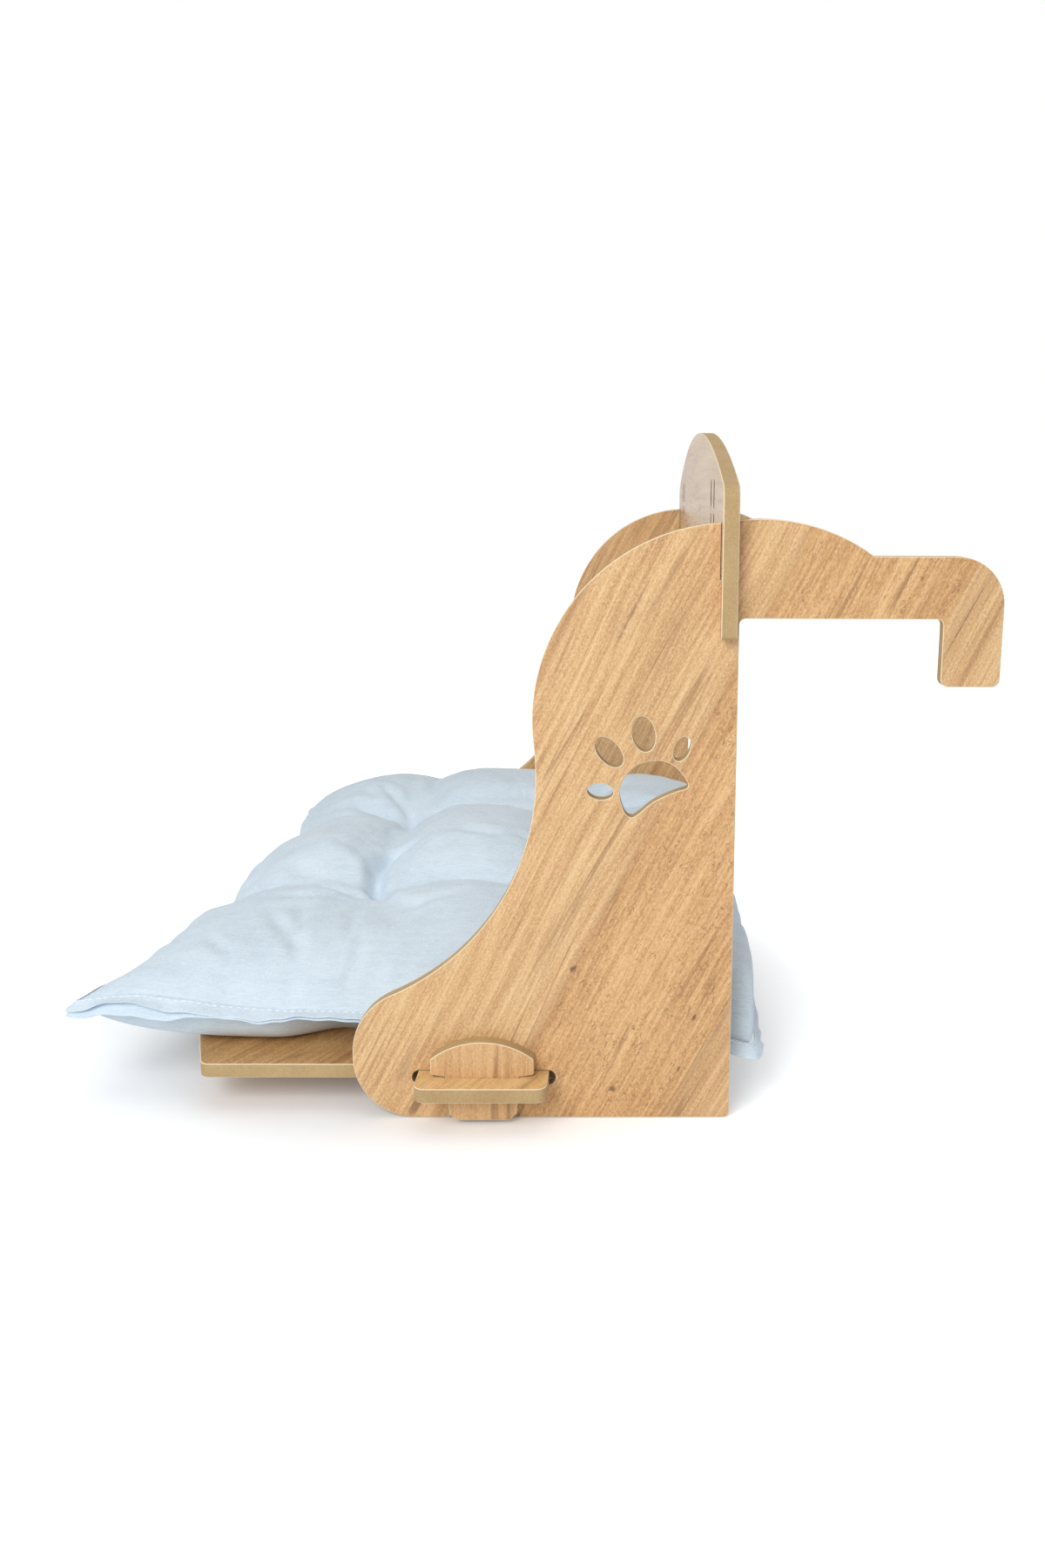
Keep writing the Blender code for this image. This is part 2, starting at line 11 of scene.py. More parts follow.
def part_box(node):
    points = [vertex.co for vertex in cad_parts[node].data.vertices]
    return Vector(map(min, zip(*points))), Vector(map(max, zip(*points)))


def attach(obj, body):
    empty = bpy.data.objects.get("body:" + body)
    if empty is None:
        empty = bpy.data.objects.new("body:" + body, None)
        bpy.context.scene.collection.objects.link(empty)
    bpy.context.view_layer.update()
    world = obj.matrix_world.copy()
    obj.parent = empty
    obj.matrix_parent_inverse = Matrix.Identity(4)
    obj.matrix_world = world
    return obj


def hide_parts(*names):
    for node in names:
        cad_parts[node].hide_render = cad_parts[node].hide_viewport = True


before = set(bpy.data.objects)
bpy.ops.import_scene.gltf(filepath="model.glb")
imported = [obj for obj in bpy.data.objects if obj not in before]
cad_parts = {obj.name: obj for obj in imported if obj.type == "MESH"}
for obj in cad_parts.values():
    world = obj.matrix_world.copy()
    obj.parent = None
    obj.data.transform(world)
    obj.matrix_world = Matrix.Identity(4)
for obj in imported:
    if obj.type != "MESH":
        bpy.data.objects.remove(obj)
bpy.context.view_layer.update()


def linear(red, green, blue):
    """A colour read off a screen, 0 to 255, as the renderer's linear values."""
    values = []
    for channel in (red, green, blue):
        share = channel / 255
        values.append(share / 12.92 if share <= 0.04045 else ((share + 0.055) / 1.055) ** 2.4)
    return tuple(values)


# Camera, at the photograph's place and angle
CAMERA_AT = (0.0573, -0.8999, 0.3320)
CAMERA_PITCH = 12.662
CAMERA_YAW = 0.549
CAMERA_ROLL = 0.281
FOCAL_PIXELS = 1497.8
PRINCIPAL_COLUMN = 730.0
IMAGE_SIZE = (1200, 1800)
SENSOR = 36.0
CLIPPING = (0.01, 50.0)

# Floor, surround and lamps
FLOOR_HALF = 6.0
FLOOR_SINK = 0.0004                # keeps the floor clear of the boards' lower edges
FLOOR_COLOUR = (0.908, 0.93, 0.952, 1.0)
FLOOR_GLOW = (0.09, 0.72)          # beside the bed and far from it
SHADE_CENTRE = (-0.08, -0.10, 0.0)
SHADE_REACH = (0.16, 0.34)         # the floor's shade is full within the first, gone past the second
WORLD_LIGHT = 0.46
WHITE = (1.0, 1.0, 1.0, 1.0)
LAMPS = (                          # name, place, target, width in metres, watts
    ("key_lamp", (-0.50, -1.40, 0.95), (0.0, -0.1, 0.12), 0.9, 14.0),
    ("top_lamp", (0.1, -0.1, 2.0), (0.0, 0.0, 0.0), 1.8, 6.0),
)

# Colours of the print and of the cut edges
FOIL_LIGHT = linear(230, 196, 148)
FOIL_MID = linear(211, 170, 122)
FOIL_DARK = linear(182, 141, 98)
FOIL_LINE = linear(146, 104, 68)
FOIL_KNOT = linear(98, 68, 54)
FOIL_RAMP = ((0.14, FOIL_DARK), (0.50, FOIL_MID), (0.88, FOIL_LIGHT))
ORANGE_TINT = (1.0, 0.935, 0.86)   # of the coarser planks, over the smooth ones
PLAIN_TINT = (1.0, 1.0, 1.0)
SHELF_TINT = (0.98, 0.97, 0.86)
HEADBOARD_TINT = (0.90, 0.945, 1.02)
EDGE_RAMP = ((0.34, linear(171, 142, 98)), (0.66, linear(195, 168, 124)))
RIM = linear(236, 217, 184)
# painted shade inside the headboard's slots, laid on their cut edges: darker and less dark
SLOT_SHADE_DARK = linear(58, 40, 28)
SLOT_SHADE_LIGHT = linear(92, 68, 48)
FOIL_GLOSS = 0.40
HEADBOARD_GLOSS = 0.26
EDGE_ROUGHNESS = 0.8
KEY_CONTRAST = 0.72
FIBRE_CELLS = 1100.0               # of the cut edges, per metre
CLOUD_CELLS = 42.0
RIM_FACING = 0.5                   # cosine to the board's thickness, past which a surface is rim
FOIL_FACING = 0.9                  # and past which it is foil

# Layers of the grain: cells per metre with the grain and across it, shift, weight
GRAIN_LAYERS = {
    "broad": (2.4, 42.0, 0.0, 0.52),
    "streak": (7.0, 190.0, 1.3, 0.64),
    "fine": (22.0, 620.0, 2.9, 1.00),
    "hair": (50.0, 1500.0, 4.1, 0.55),
    "fleck": (700.0, 1500.0, 5.7, 1.35),
}
TONE_WEIGHT = 0.50
PLANK_SHIFT = 9.0                  # moves the print from plank to plank, by their tone
WAVER_CELLS = (5.0, 9.0)           # slow waves, per metre with the grain and across it
WAVER_REACH = 0.012

# Marks on the print: cells per metre with the grain and across it, shift; then what part shows
LINE_CELLS = (4.0, 95.0, 6.2)
LINE_WIDTH = 0.030
LINE_GAPS = (9.0, 60.0, 8.4)
LINE_SHOWN = (0.47, 0.60)
LINE_STRENGTH = 0.60
PORE_CELLS = (210.0, 430.0, 3.3)
PORE_WIDTH = 0.026
PORE_GAPS = (130.0, 260.0, 7.7)
PORE_SHOWN = (0.52, 0.60)
GLINT_CELLS = (420.0, 1100.0, 9.1)
GLINT_SHOWN = (0.60, 0.72)
GLINT_STRENGTH = (0.12, 0.30)      # everywhere, and more in the coarse planks
JOINT_WIDTH = 0.0007
JOINT_SHOWN = (0.40, 0.62)
JOINT_STRENGTH = 0.55
SPOT_RAGGED = (0.35, 1.1)          # how far pores and fine grain eat into a dark mark
SPOT_CORE = 0.30

# Planks of the print: start across the grain in metres, tone, coarseness, warmth
SIDE_PLANKS = (
    (-0.5, 0.66, 0.35, 0.10), (-0.0780, 0.70, 0.30, 0.15), (-0.0722, 0.50, 1.0, 1.0),
    (0.0113, 0.58, 0.25, 0.15), (0.0985, 0.50, 0.7, 0.55), (0.150, 0.62, 0.4, 0.2),
)
FAR_PLANKS = (
    (-0.5, 0.50, 0.8, 0.8), (-0.035, 0.62, 0.3, 0.1), (0.055, 0.46, 0.8, 0.7), (0.120, 0.60, 0.3, 0.2),
)
SHELF_PLANKS = (
    (-0.5, 0.70, 0.3, 0.1), (-0.130, 0.95, 0.3, 0.0), (-0.042, 0.16, 0.6, 1.0),
    (0.047, 0.30, 0.3, 0.9), (0.135, 0.54, 0.5, 0.3),
)
HEADBOARD_PLANKS = ((-0.5, 0.50, 0.15, 0.2), (0.2850, 0.60, 0.08, 0.1), (0.3280, 0.54, 0.12, 0.2))
KEY_PLANKS = ((-0.5, 0.62, 0.12, 0.30),)
X_AXIS = Vector((1.0, 0.0, 0.0))
Y_AXIS = Vector((0.0, 1.0, 0.0))
Z_AXIS = Vector((0.0, 0.0, 1.0))
GRAIN_ANGLE = 62.6                 # of the side panels' grain, above the horizon
SHELF_GRAIN = 62.0                 # of the shelf's grain, from the bed's front-to-back line
SLOT_EDGES = (0.312, 0.340, 0.195)  # lowest and highest z and reach in y of the headboard's slots

# Knots and dark marks on the near panel: x and z, half length with the grain, half width, strength
SIDE_SPOTS = (
    (0.0309, 0.0854, 0.0030, 0.0016, 0.85),
    (0.0516, 0.0166, 0.0019, 0.0020, 0.75),
    (0.0953, 0.0579, 0.0024, 0.0011, 0.80),
    (0.0873, 0.0283, 0.0020, 0.0009, 0.70),
    (0.1029, 0.0767, 0.0080, 0.0016, 0.36),
    (-0.0548, 0.0077, 0.0075, 0.0030, 0.62),
    (-0.0600, 0.0290, 0.0180, 0.0026, 0.25),
    (0.0300, 0.1140, 0.0560, 0.0030, 0.15),
    (0.0600, 0.2700, 0.0200, 0.0011, 0.50),
    (0.0260, 0.2850, 0.0090, 0.0008, 0.60),
    (0.1960, 0.2870, 0.0160, 0.0012, 0.45),
    (0.2283, 0.2710, 0.0260, 0.0004, 0.60),
)

# Cushion cover, cut flat: its size includes the flange, its cells lie between the stitch lines
FLAT_SIZE = (0.435, 0.545)
FLANGE = 0.009
CELLS = (96, 120)
FLANGE_CELLS = 2
LAST_I = CELLS[0] + 2 * FLANGE_CELLS
LAST_J = CELLS[1] + 2 * FLANGE_CELLS

# Shape of the filled cushion before the cloth settles
SHELF_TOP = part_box("shelf_board")[1].z
CUSHION_LOW, CUSHION_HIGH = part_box("cushion")
CUSHION_MIDDLE = (CUSHION_LOW + CUSHION_HIGH) / 2
HALF_X = (CUSHION_HIGH.x - CUSHION_LOW.x) / 2
HALF_Y = 0.2385
SIDE_REACH = 0.2392                # furthest that cloth may go towards a side panel
FRONT_SEAM = 0.0290                # seam above the shelf
REAR_SEAM = 0.0115
SEAM_LIFT = 0.0060                 # the seam rides up near the near front corner
TOP_RISE = 0.0641                  # crown above the seam
SQUARENESS = 2.15                  # of the crown, seen from above
FRONT_PULL = 0.155                 # share by which the front draws in between its corners
REAR_PULL = 0.004
SIDE_PULL = 0.020
CORNER_LAG = 0.021                 # the far front corner lies this much further back
CORNER_REACH = 0.0070              # the near front corner is drawn out to a point
CORNER_WIDTH = 0.14
REAR_TIP_SHIFT = -0.001            # the near rear corner lies this much further back
REAR_TIP_SAG = 0.0105              # and hangs this far below the rest of the rear
REAR_TIP_WIDTH = 0.13
FRONT_SLOPE = 0.80                 # 1 slopes gently from the crown, 0.1 stands upright
REAR_SLOPE = 0.130
NEAR_SLOPE = 0.83
NEAR_REAR_SLOPE = 0.12             # beside the panel's back edge the near side stands upright
FAR_SLOPE = 0.15
NEAR_DROP = 0.62                   # the lobes along the near side lie lower by this share
FRONT_RELIEF = 0.74                # share of NEAR_DROP that the near front lobe is spared
REAR_RELIEF = 0.97                 # share of NEAR_DROP that the near rear lobe is spared
FAR_DROP = 0.080                   # the lobes past the near row lie lower by this share
FRONT_PUFF = 0.007                 # extra fullness right behind the front seam
LOBE_REACH = 0.015                 # the front lobes bulge out this far between the valleys
LOBE_LEAST = 0.35                  # share of that reach at the valleys
REAR_REACH = 0.0192                # the rear lobes bulge out over the seam, the near one most
REAR_BULGE_LOSS = 0.5              # share of that reach that the far ones lack
BELLY_SLOPE = 0.42
BELLY_SQUARENESS = 11.0
BELLY_RETREAT = 0.120              # beside the near panel the cushion meets the shelf further in

# Where these set in and where they are full, from the middle as shares of half the cushion
NEAR_REAR_AT = (0.25, 0.85)        # to the rear
REAR_RELIEF_AT = (0.35, 0.80)      # to the rear
BELLY_RETREAT_AT = (-0.44, -0.24)  # to the rear
FRONT_RELIEF_AT = (0.40, 0.85)     # to the front
FAR_DROP_AT = (-0.40, -0.05)       # to the far side
REAR_BULGE_SIDE = (-0.6, 0.2)      # to the far side
NEAR_DROP_AT = (0.25, 0.70)        # to the near side
FRONT_PUFF_SIDE = (0.25, 0.65)     # to the near side
SEAM_LIFT_SIDE = (0.3, 0.9)        # to the near side

# Where these have their middle, from front to rear, and their width
SEAM_LIFT_AT = (-0.80, 0.17)
FRONT_PUFF_AT = (-0.93, 0.08)
FRONT_BULGE_AT = -0.90
REAR_BULGE_AT = 0.93
BULGE_WIDTH = 0.10

# Tufts and the valleys between them
TUFT_DEPTH = 0.58                  # share of the crown that a tuft pulls down
TUFT_RADIUS = 0.026
TUFT_SHIFTS = (0.012, 0.004)       # of the near and the far tufts, back from the thirds
VALLEY_DEPTH = 0.30                # of the valleys between tufts, and from them to the front
FRONT_VALLEY_DEPTH = 0.58
VALLEY_RADIUS = 0.022

# Cloth, before it is filled and while it is
CLOTH_HALF = 0.0004                # half the distance between the two sheets where they meet
RIPPLE = 0.0012                    # slight unevenness that the wrinkles grow from
RIPPLE_CELLS = 60                  # per metre
RIPPLE_LAYER = 3.0
PRESSURE = 20.0
FRAMES = 30
SEAM_HOLD = 0.32                   # how firmly the seam keeps its place
RESTING = 0.0016                   # cloth this near to the shelf stays on it
STRETCH_HEIGHT = 0.02              # where the flat sheets are measured, above the shelf
CLOTH = dict(
    quality=6, mass=0.01, tension_stiffness=15, compression_stiffness=15, shear_stiffness=8,
    bending_stiffness=0.05, use_pressure=True, uniform_pressure_force=PRESSURE, pin_stiffness=1.0,
)

# Folds pressed into the upper side: the line's points across the cushion, depth and half width
FOLDS = (
    (((-0.084, -0.034), (-0.100, -0.036), (-0.108, -0.056), (-0.106, -0.078), (-0.095, -0.097)),
     0.0090, 0.0044),
    (((-0.118, 0.160), (-0.111, 0.100), (-0.102, 0.040), (-0.092, -0.020)), 0.0030, 0.0045),
    (((-0.138, -0.086), (-0.120, -0.094), (-0.103, -0.094)), 0.0050, 0.0038),
    (((-0.172, -0.118), (-0.145, -0.112), (-0.120, -0.102)), 0.0024, 0.0045),
    (((-0.158, -0.140), (-0.147, -0.158), (-0.132, -0.183)), 0.0026, 0.0040),
    (((-0.187, -0.172), (-0.178, -0.182), (-0.167, -0.193)), 0.0018, 0.0034),
    (((-0.060, -0.030), (-0.036, -0.038), (0.000, -0.026)), 0.0034, 0.0042),
    (((-0.070, -0.070), (-0.043, -0.080), (-0.014, -0.074)), 0.0030, 0.0045),
    (((-0.140, -0.126), (-0.136, -0.156), (-0.128, -0.200)), 0.0020, 0.0038),
    (((-0.080, -0.128), (-0.062, -0.118), (-0.040, -0.112)), 0.0026, 0.0040),
    (((0.052, 0.070), (0.090, 0.078), (0.118, 0.060)), 0.0030, 0.0044),
    (((0.060, -0.080), (0.082, -0.098), (0.090, -0.140)), 0.0028, 0.0044),
    (((-0.060, 0.092), (-0.020, 0.104), (0.020, 0.092)), 0.0026, 0.0046),
    (((-0.120, 0.085), (-0.150, 0.104), (-0.182, 0.110)), 0.0026, 0.0042),
)
SHOULDER = 0.30                    # height of the swelling beside a fold, as a share of its depth
SHOULDER_AT = 2.1                  # its distance from the fold, in the fold's half widths

# Flange and stitches
FLANGE_CLOTH = 0.0007
FLANGE_REACHES = (-0.0012, 0.0, 0.0014, 0.0045, 0.0072, 0.0090)
LEAST_DROOP = 0.12                 # metres down for each metre out
SIDE_DROOP = 0.22
FRONT_DROOP = 3.0
REAR_DROOP = 1.3
WAVE_CELLS = 38                    # per metre
FLANGE_WAVES = ((1.0, 0.0026), (2.7, 0.0015))  # how many times finer, height
REAR_LIVELINESS = 1.6              # the near rear corner waves more by this share
REAR_WAVE = (3.1, 0.0030)          # and also waves to and fro
NEAR_END = (0.17, 0.22)            # the near corners' part of the flange, along -Y
REAR_END = (-0.10, -0.04)          # the rear corners' part, from the cushion's rear
FLANGE_GAP = 0.0026                # opening between the flange's two layers
GAP_LEAST = 0.1
GAP_CELLS = 21                     # per metre
GAP_LAYER = 5.0
FRONT_GAP = 1.6                    # the opening near the near front corner, in FLANGE_GAPs
FRONT_GAP_AT = (0.036, 0.030)      # its distance from the cushion's front and its width
STITCH_PERIOD = 0.0042
STITCH_LENGTH = 0.0029
STITCH_INSET = 0.0006
THREAD_RADIUS = 0.00036
THREAD_SIDES = 6
# Rings round a stitch: share of its length, then width and depth in thread radii
THREAD_RINGS = ((0.0, 0.45, 1.6), (0.18, 1.0, 0.1), (0.82, 1.0, 0.1), (1.0, 0.45, 1.6))

# Cotton and thread
COTTON = linear(212, 227, 238)
COTTON_PALE = linear(225, 238, 247)
COTTON_SHADE = linear(196, 211, 223)
COTTON_SLUB = linear(160, 176, 194)
COTTON_SPECK = linear(86, 92, 104)
COTTON_RAMP = ((0.28, COTTON_SHADE), (0.50, COTTON), (0.74, COTTON_PALE))
THREAD_RAMP = ((0.3, linear(226, 236, 244)), (0.7, linear(248, 252, 254)))

# Cells per metre along X, Y and Z, or alike in all directions; then what part shows
WEFT_CELLS = (140.0, 1500.0, 1500.0)
WARP_CELLS = (1500.0, 140.0, 1500.0)
BAND_CELLS = (12.0, 170.0, 170.0)
SLUB_CELLS = (130.0, 820.0, 820.0)
SLUB_SHOWN = (0.71, 0.78)
SLUB_STRENGTH = 0.45
MOTTLE_CELLS = 30.0
SPECK_CELLS = 42.0
SPECK_REACH = ((0.012, 1.0), (0.028, 0.0))  # distance from its middle in cells, and its share there
SPECK_RARITY = 0.86                # share of the cells without a speck
SPECK_STRENGTH = 0.7
WRINKLE_CELLS = 24.0
WRINKLE_WIDTH = 0.100
WRINKLED_CELLS = 13.0
WRINKLED_SHOWN = (0.46, 0.62)
TWIST_CELLS = 2600.0


def shader_node(tree, kind, inputs=None, **settings):
    """A node with its settings and inputs; an input is a value or another node's socket."""
    made = tree.nodes.new(kind)
    for key, value in settings.items():
        setattr(made, key, value)
    for key, value in (inputs or {}).items():
        if isinstance(value, bpy.types.NodeSocket):
            tree.links.new(value, made.inputs[key])
        else:
            made.inputs[key].default_value = value
    return made


def maths(tree, operation, *values):
    return shader_node(tree, "ShaderNodeMath", dict(enumerate(values)), operation=operation).outputs[0]


def total(tree, *values):
    made = values[0]
    for value in values[1:]:
        made = maths(tree, "ADD", made, value)
    return made


def product(tree, *values):
    made = values[0]
    for value in values[1:]:
        made = maths(tree, "MULTIPLY", made, value)
    return made


def either(tree, share, off, on):
    """One value where the share is 0, another where it is 1."""
    return total(tree, product(tree, on, share), product(tree, maths(tree, "SUBTRACT", 1.0, share), off))


def centred(tree, socket, gain):
    return product(tree, maths(tree, "SUBTRACT", socket, 0.5), gain)


def vector(tree, x=0.0, y=0.0, z=0.0):
    return shader_node(tree, "ShaderNodeCombineXYZ", {0: x, 1: y, 2: z}).outputs[0]


def vector_maths(tree, operation, socket, other):
    return shader_node(tree, "ShaderNodeVectorMath", {0: socket, 1: other}, operation=operation).outputs


def dot(tree, socket, axis):
    return vector_maths(tree, "DOT_PRODUCT", socket, axis)["Value"]


def object_place(tree):
    return shader_node(tree, "ShaderNodeTexCoord").outputs["Object"]


def noise_at(tree, coordinates, scale, detail=2.0, rough=0.5, distortion=0.0):
    made = shader_node(tree, "ShaderNodeTexNoise", {
        "Vector": coordinates, "Scale": scale, "Detail": detail,
        "Roughness": rough, "Distortion": distortion,
    })
    return made.outputs["Fac"]


def ramp(tree, socket, stops):
    """A factor or colour over a range; stops are (position, value or colour)."""
    made = shader_node(tree, "ShaderNodeValToRGB", {"Fac": socket})
    elements = made.color_ramp.elements
    while len(elements) < len(stops):
        elements.new(0.5)
    for element, (position, colour) in zip(elements, stops):
        element.position = position
        if not isinstance(colour, tuple):
            colour = (colour, colour, colour)
        element.color = (*colour, 1.0)
    return made.outputs["Color"]


def above(tree, socket, low, high):
    return ramp(tree, socket, ((low, 0.0), (high, 1.0)))


def ridge(tree, socket, width):
    """1 on the lines where a noise passes its middle value, 0 beside them."""
    away = maths(tree, "ABSOLUTE", maths(tree, "SUBTRACT", socket, 0.5))
    return ramp(tree, away, ((0.0, 1.0), (width, 0.0)))


def mix(tree, factor, a, b, blend_type="MIX"):
    made = tree.nodes.new("ShaderNodeMix")
    made.data_type = "RGBA"
    made.blend_type = blend_type
    for index, value in ((0, factor), (6, a), (7, b)):
        if isinstance(value, bpy.types.NodeSocket):
            tree.links.new(value, made.inputs[index])
        elif index == 0:
            made.inputs[index].default_value = value
        else:
            made.inputs[index].default_value = (*value, 1.0)
    return made.outputs[2]


def new_material(name):
    made = bpy.data.materials.new(name)
    made.use_nodes = True
    tree = made.node_tree
    return made, tree, tree.nodes["Principled BSDF"]


def add_relief(tree, shader, height, strength, distance):
    """Bump the surface by a height that the nodes make."""
    inputs = {"Strength": strength, "Distance": distance, "Height": height}
    tree.links.new(shader_node(tree, "ShaderNodeBump", inputs).outputs[0], shader.inputs["Normal"])


def link_object(name, data):
    made = bpy.data.objects.new(name, data)
    bpy.context.scene.collection.objects.link(made)
    return made


def planks_across(tree, v, planks):
    """Tone, coarseness and warmth of the plank at a place across the grain."""
    made = shader_node(tree, "ShaderNodeValToRGB", {"Fac": maths(tree, "ADD", v, 0.5)})
    made.color_ramp.interpolation = "CONSTANT"
    elements = made.color_ramp.elements
    while len(elements) < len(planks):
        elements.new(0.5)
    for element, (start, *values) in zip(elements, planks):
        element.position = max(0.0, start + 0.5)
        element.color = (*values, 1.0)
    return shader_node(tree, "ShaderNodeSeparateColor", {0: made.outputs["Color"]}).outputs[0:3]


class Grain:
    """Where a point lies in a board's print: with the grain, across it, and on which plank.

    along and across are directions in the board's plane. shift moves the print, so that no two
    boards show the same piece of it.
    """

    def __init__(self, tree, place, along, across, shift, planks):
        self.tree = tree
        self.u = dot(tree, place, along)
        self.v = dot(tree, place, across)
        self.shift = shift
        self.tone, self.coarse, self.warm = planks_across(tree, self.v, planks)
        slow_u = product(tree, self.u, WAVER_CELLS[0])
        slow_v = product(tree, self.v, WAVER_CELLS[1])
        waver = noise_at(tree, vector(tree, slow_u, slow_v, shift), 1.0, 1.0)
        self.bent = total(tree, self.v, centred(tree, waver, WAVER_REACH))

    def stretched(self, lengthwise, crosswise, offset):
        """Noise drawn out with the grain; lengthwise and crosswise are cells per metre."""
        spot = vector(self.tree, product(self.tree, self.u, lengthwise),
                      product(self.tree, self.bent, crosswise),
                      total(self.tree, product(self.tree, self.tone, PLANK_SHIFT), self.shift + offset))
        return noise_at(self.tree, spot, 1.0, 2.0, 0.55)

    def shown(self, cells, limits):
        return above(self.tree, self.stretched(*cells), *limits)


def foil_print(tree, grain, contrast):
    """The print's own colours, its fine grain, its pores and the places where pores may lie."""
    layers = {name: grain.stretched(*cells) for name, (*cells, _) in GRAIN_LAYERS.items()}
    weighted = [centred(tree, layers[name], weight) for name, (*_, weight) in GRAIN_LAYERS.items()]
    grains = product(tree, total(tree, *weighted), contrast)
    foil = ramp(tree, total(tree, grains, centred(tree, grain.tone, TONE_WEIGHT), 0.5), FOIL_RAMP)
    foil = mix(tree, grain.warm, foil, mix(tree, 1.0, foil, ORANGE_TINT, "MULTIPLY"))

    # long thin lines, broken here and there
    line = ridge(tree, grain.stretched(*LINE_CELLS), LINE_WIDTH)
    foil = mix(tree, product(tree, line, grain.shown(LINE_GAPS, LINE_SHOWN), LINE_STRENGTH), foil, FOIL_LINE)
    # short crooked pores, dense in the coarse planks
    porous = grain.shown(PORE_GAPS, PORE_SHOWN)
    pores = product(tree, ridge(tree, grain.stretched(*PORE_CELLS), PORE_WIDTH), porous, grain.coarse)
    foil = mix(tree, pores, foil, FOIL_LINE)
    glint = grain.shown(GLINT_CELLS, GLINT_SHOWN)
    glint_share = total(tree, product(tree, grain.coarse, GLINT_STRENGTH[1]), GLINT_STRENGTH[0])
    foil = mix(tree, product(tree, glint, glint_share), foil, FOIL_LIGHT)
    return foil, layers["fine"], pores, porous


def plank_joints(tree, grain, planks, fine, foil):
    """Hairline joints between the planks, broken by the fine grain."""
    for start, *_ in planks[1:]:
        away = maths(tree, "ABSOLUTE", maths(tree, "SUBTRACT", grain.v, start))
        joint = ramp(tree, away, ((0.0, 1.0), (JOINT_WIDTH, 0.0)))
        share = product(tree, joint, above(tree, fine, *JOINT_SHOWN), JOINT_STRENGTH)
        foil = mix(tree, share, foil, FOIL_LINE)
    return foil


def dark_marks(tree, place, along, across, spots, fine, porous, foil):
    """Knots and dark streaks, long with the grain and ragged at the edge."""
    for x, z, half_length, half_width, strength in spots:
        spot = vector_maths(tree, "SUBTRACT", place, (x, 0.0, z))[0]
        lengthwise = maths(tree, "DIVIDE", dot(tree, spot, along), half_length)
        crosswise = maths(tree, "DIVIDE", dot(tree, spot, across), half_width)
        squares = total(tree, product(tree, lengthwise, lengthwise), product(tree, crosswise, crosswise))
        ragged = total(tree, maths(tree, "SQRT", squares), centred(tree, porous, SPOT_RAGGED[0]),
                       centred(tree, fine, SPOT_RAGGED[1]))
        foil = mix(tree, ramp(tree, ragged, ((SPOT_CORE, strength), (1.0, 0.0))), foil, FOIL_KNOT)
    return foil


def slot_shade_share(tree, place, low, high, reach):
    """1 between two heights and within a reach in y, on the cut edges of the headboard's slots, which get
    painted shade; 0 elsewhere.
    """
    _, y, z = shader_node(tree, "ShaderNodeSeparateXYZ", {0: place}).outputs
    return product(tree, maths(tree, "GREATER_THAN", z, low), maths(tree, "LESS_THAN", z, high),
                   maths(tree, "LESS_THAN", maths(tree, "ABSOLUTE", y), reach))


def board_material(name, thickness_axis, along, across, shift, planks, spots=(), tint=PLAIN_TINT,
                   gloss=FOIL_GLOSS, contrast=1.0, shaded_slots=None):
    """Wood-print foil on a board's two faces, bare fibreboard on its cut edges, a pale rim between.

    The last argument gives the lowest and highest z and the reach in y of the slots' cut edges, which are
    painted dark brown as the shade inside the slots.
    """
    material, tree, shader = new_material(name)
    place = object_place(tree)
    grain = Grain(tree, place, along, across, shift, planks)
    foil, fine, pores, porous = foil_print(tree, grain, contrast)
    foil = plank_joints(tree, grain, planks, fine, foil)
    foil = dark_marks(tree, place, along, across, spots, fine, porous, foil)
    foil = mix(tree, 1.0, foil, tint, "MULTIPLY")

    # cut edges: compressed fibre, cloudy and speckled
    fibre = total(tree, product(tree, noise_at(tree, place, FIBRE_CELLS, 3.0, 0.7), 0.6),
                  product(tree, noise_at(tree, place, CLOUD_CELLS, 2.0), 0.4))
    edge = ramp(tree, fibre, EDGE_RAMP)

    normal = shader_node(tree, "ShaderNodeNewGeometry").outputs["True Normal"]
    facing = maths(tree, "ABSOLUTE", dot(tree, normal, thickness_axis))
    on_rim = maths(tree, "GREATER_THAN", facing, RIM_FACING)
    on_foil = maths(tree, "GREATER_THAN", facing, FOIL_FACING)
    colour = mix(tree, on_rim, edge, RIM)
    # painted shade: the cut edges inside the headboard's slots are coloured dark brown
    if shaded_slots:
        slot_shade = mix(tree, fibre, SLOT_SHADE_DARK, SLOT_SHADE_LIGHT)
        colour = mix(tree, slot_shade_share(tree, place, *shaded_slots), colour, slot_shade)
    colour = mix(tree, on_foil, colour, foil)
    tree.links.new(colour, shader.inputs["Base Color"])

    rough_foil = total(tree, product(tree, fine, 0.16), gloss - 0.04)
    tree.links.new(either(tree, on_foil, EDGE_ROUGHNESS, rough_foil), shader.inputs["Roughness"])
    foil_relief = total(tree, product(tree, pores, -0.8), product(tree, fine, 0.5))
    add_relief(tree, shader, either(tree, on_foil, fibre, foil_relief), 0.30, 0.0003)
    shader.inputs["Specular IOR Level"].default_value = 0.4
    return material


def grain_directions(degrees, other):
    """Directions with the grain and across it, turned from the X axis towards another one."""
    turn = math.radians(degrees)
    return dict(along=X_AXIS * math.cos(turn) + other * math.sin(turn),
                across=other * math.cos(turn) - X_AXIS * math.sin(turn))


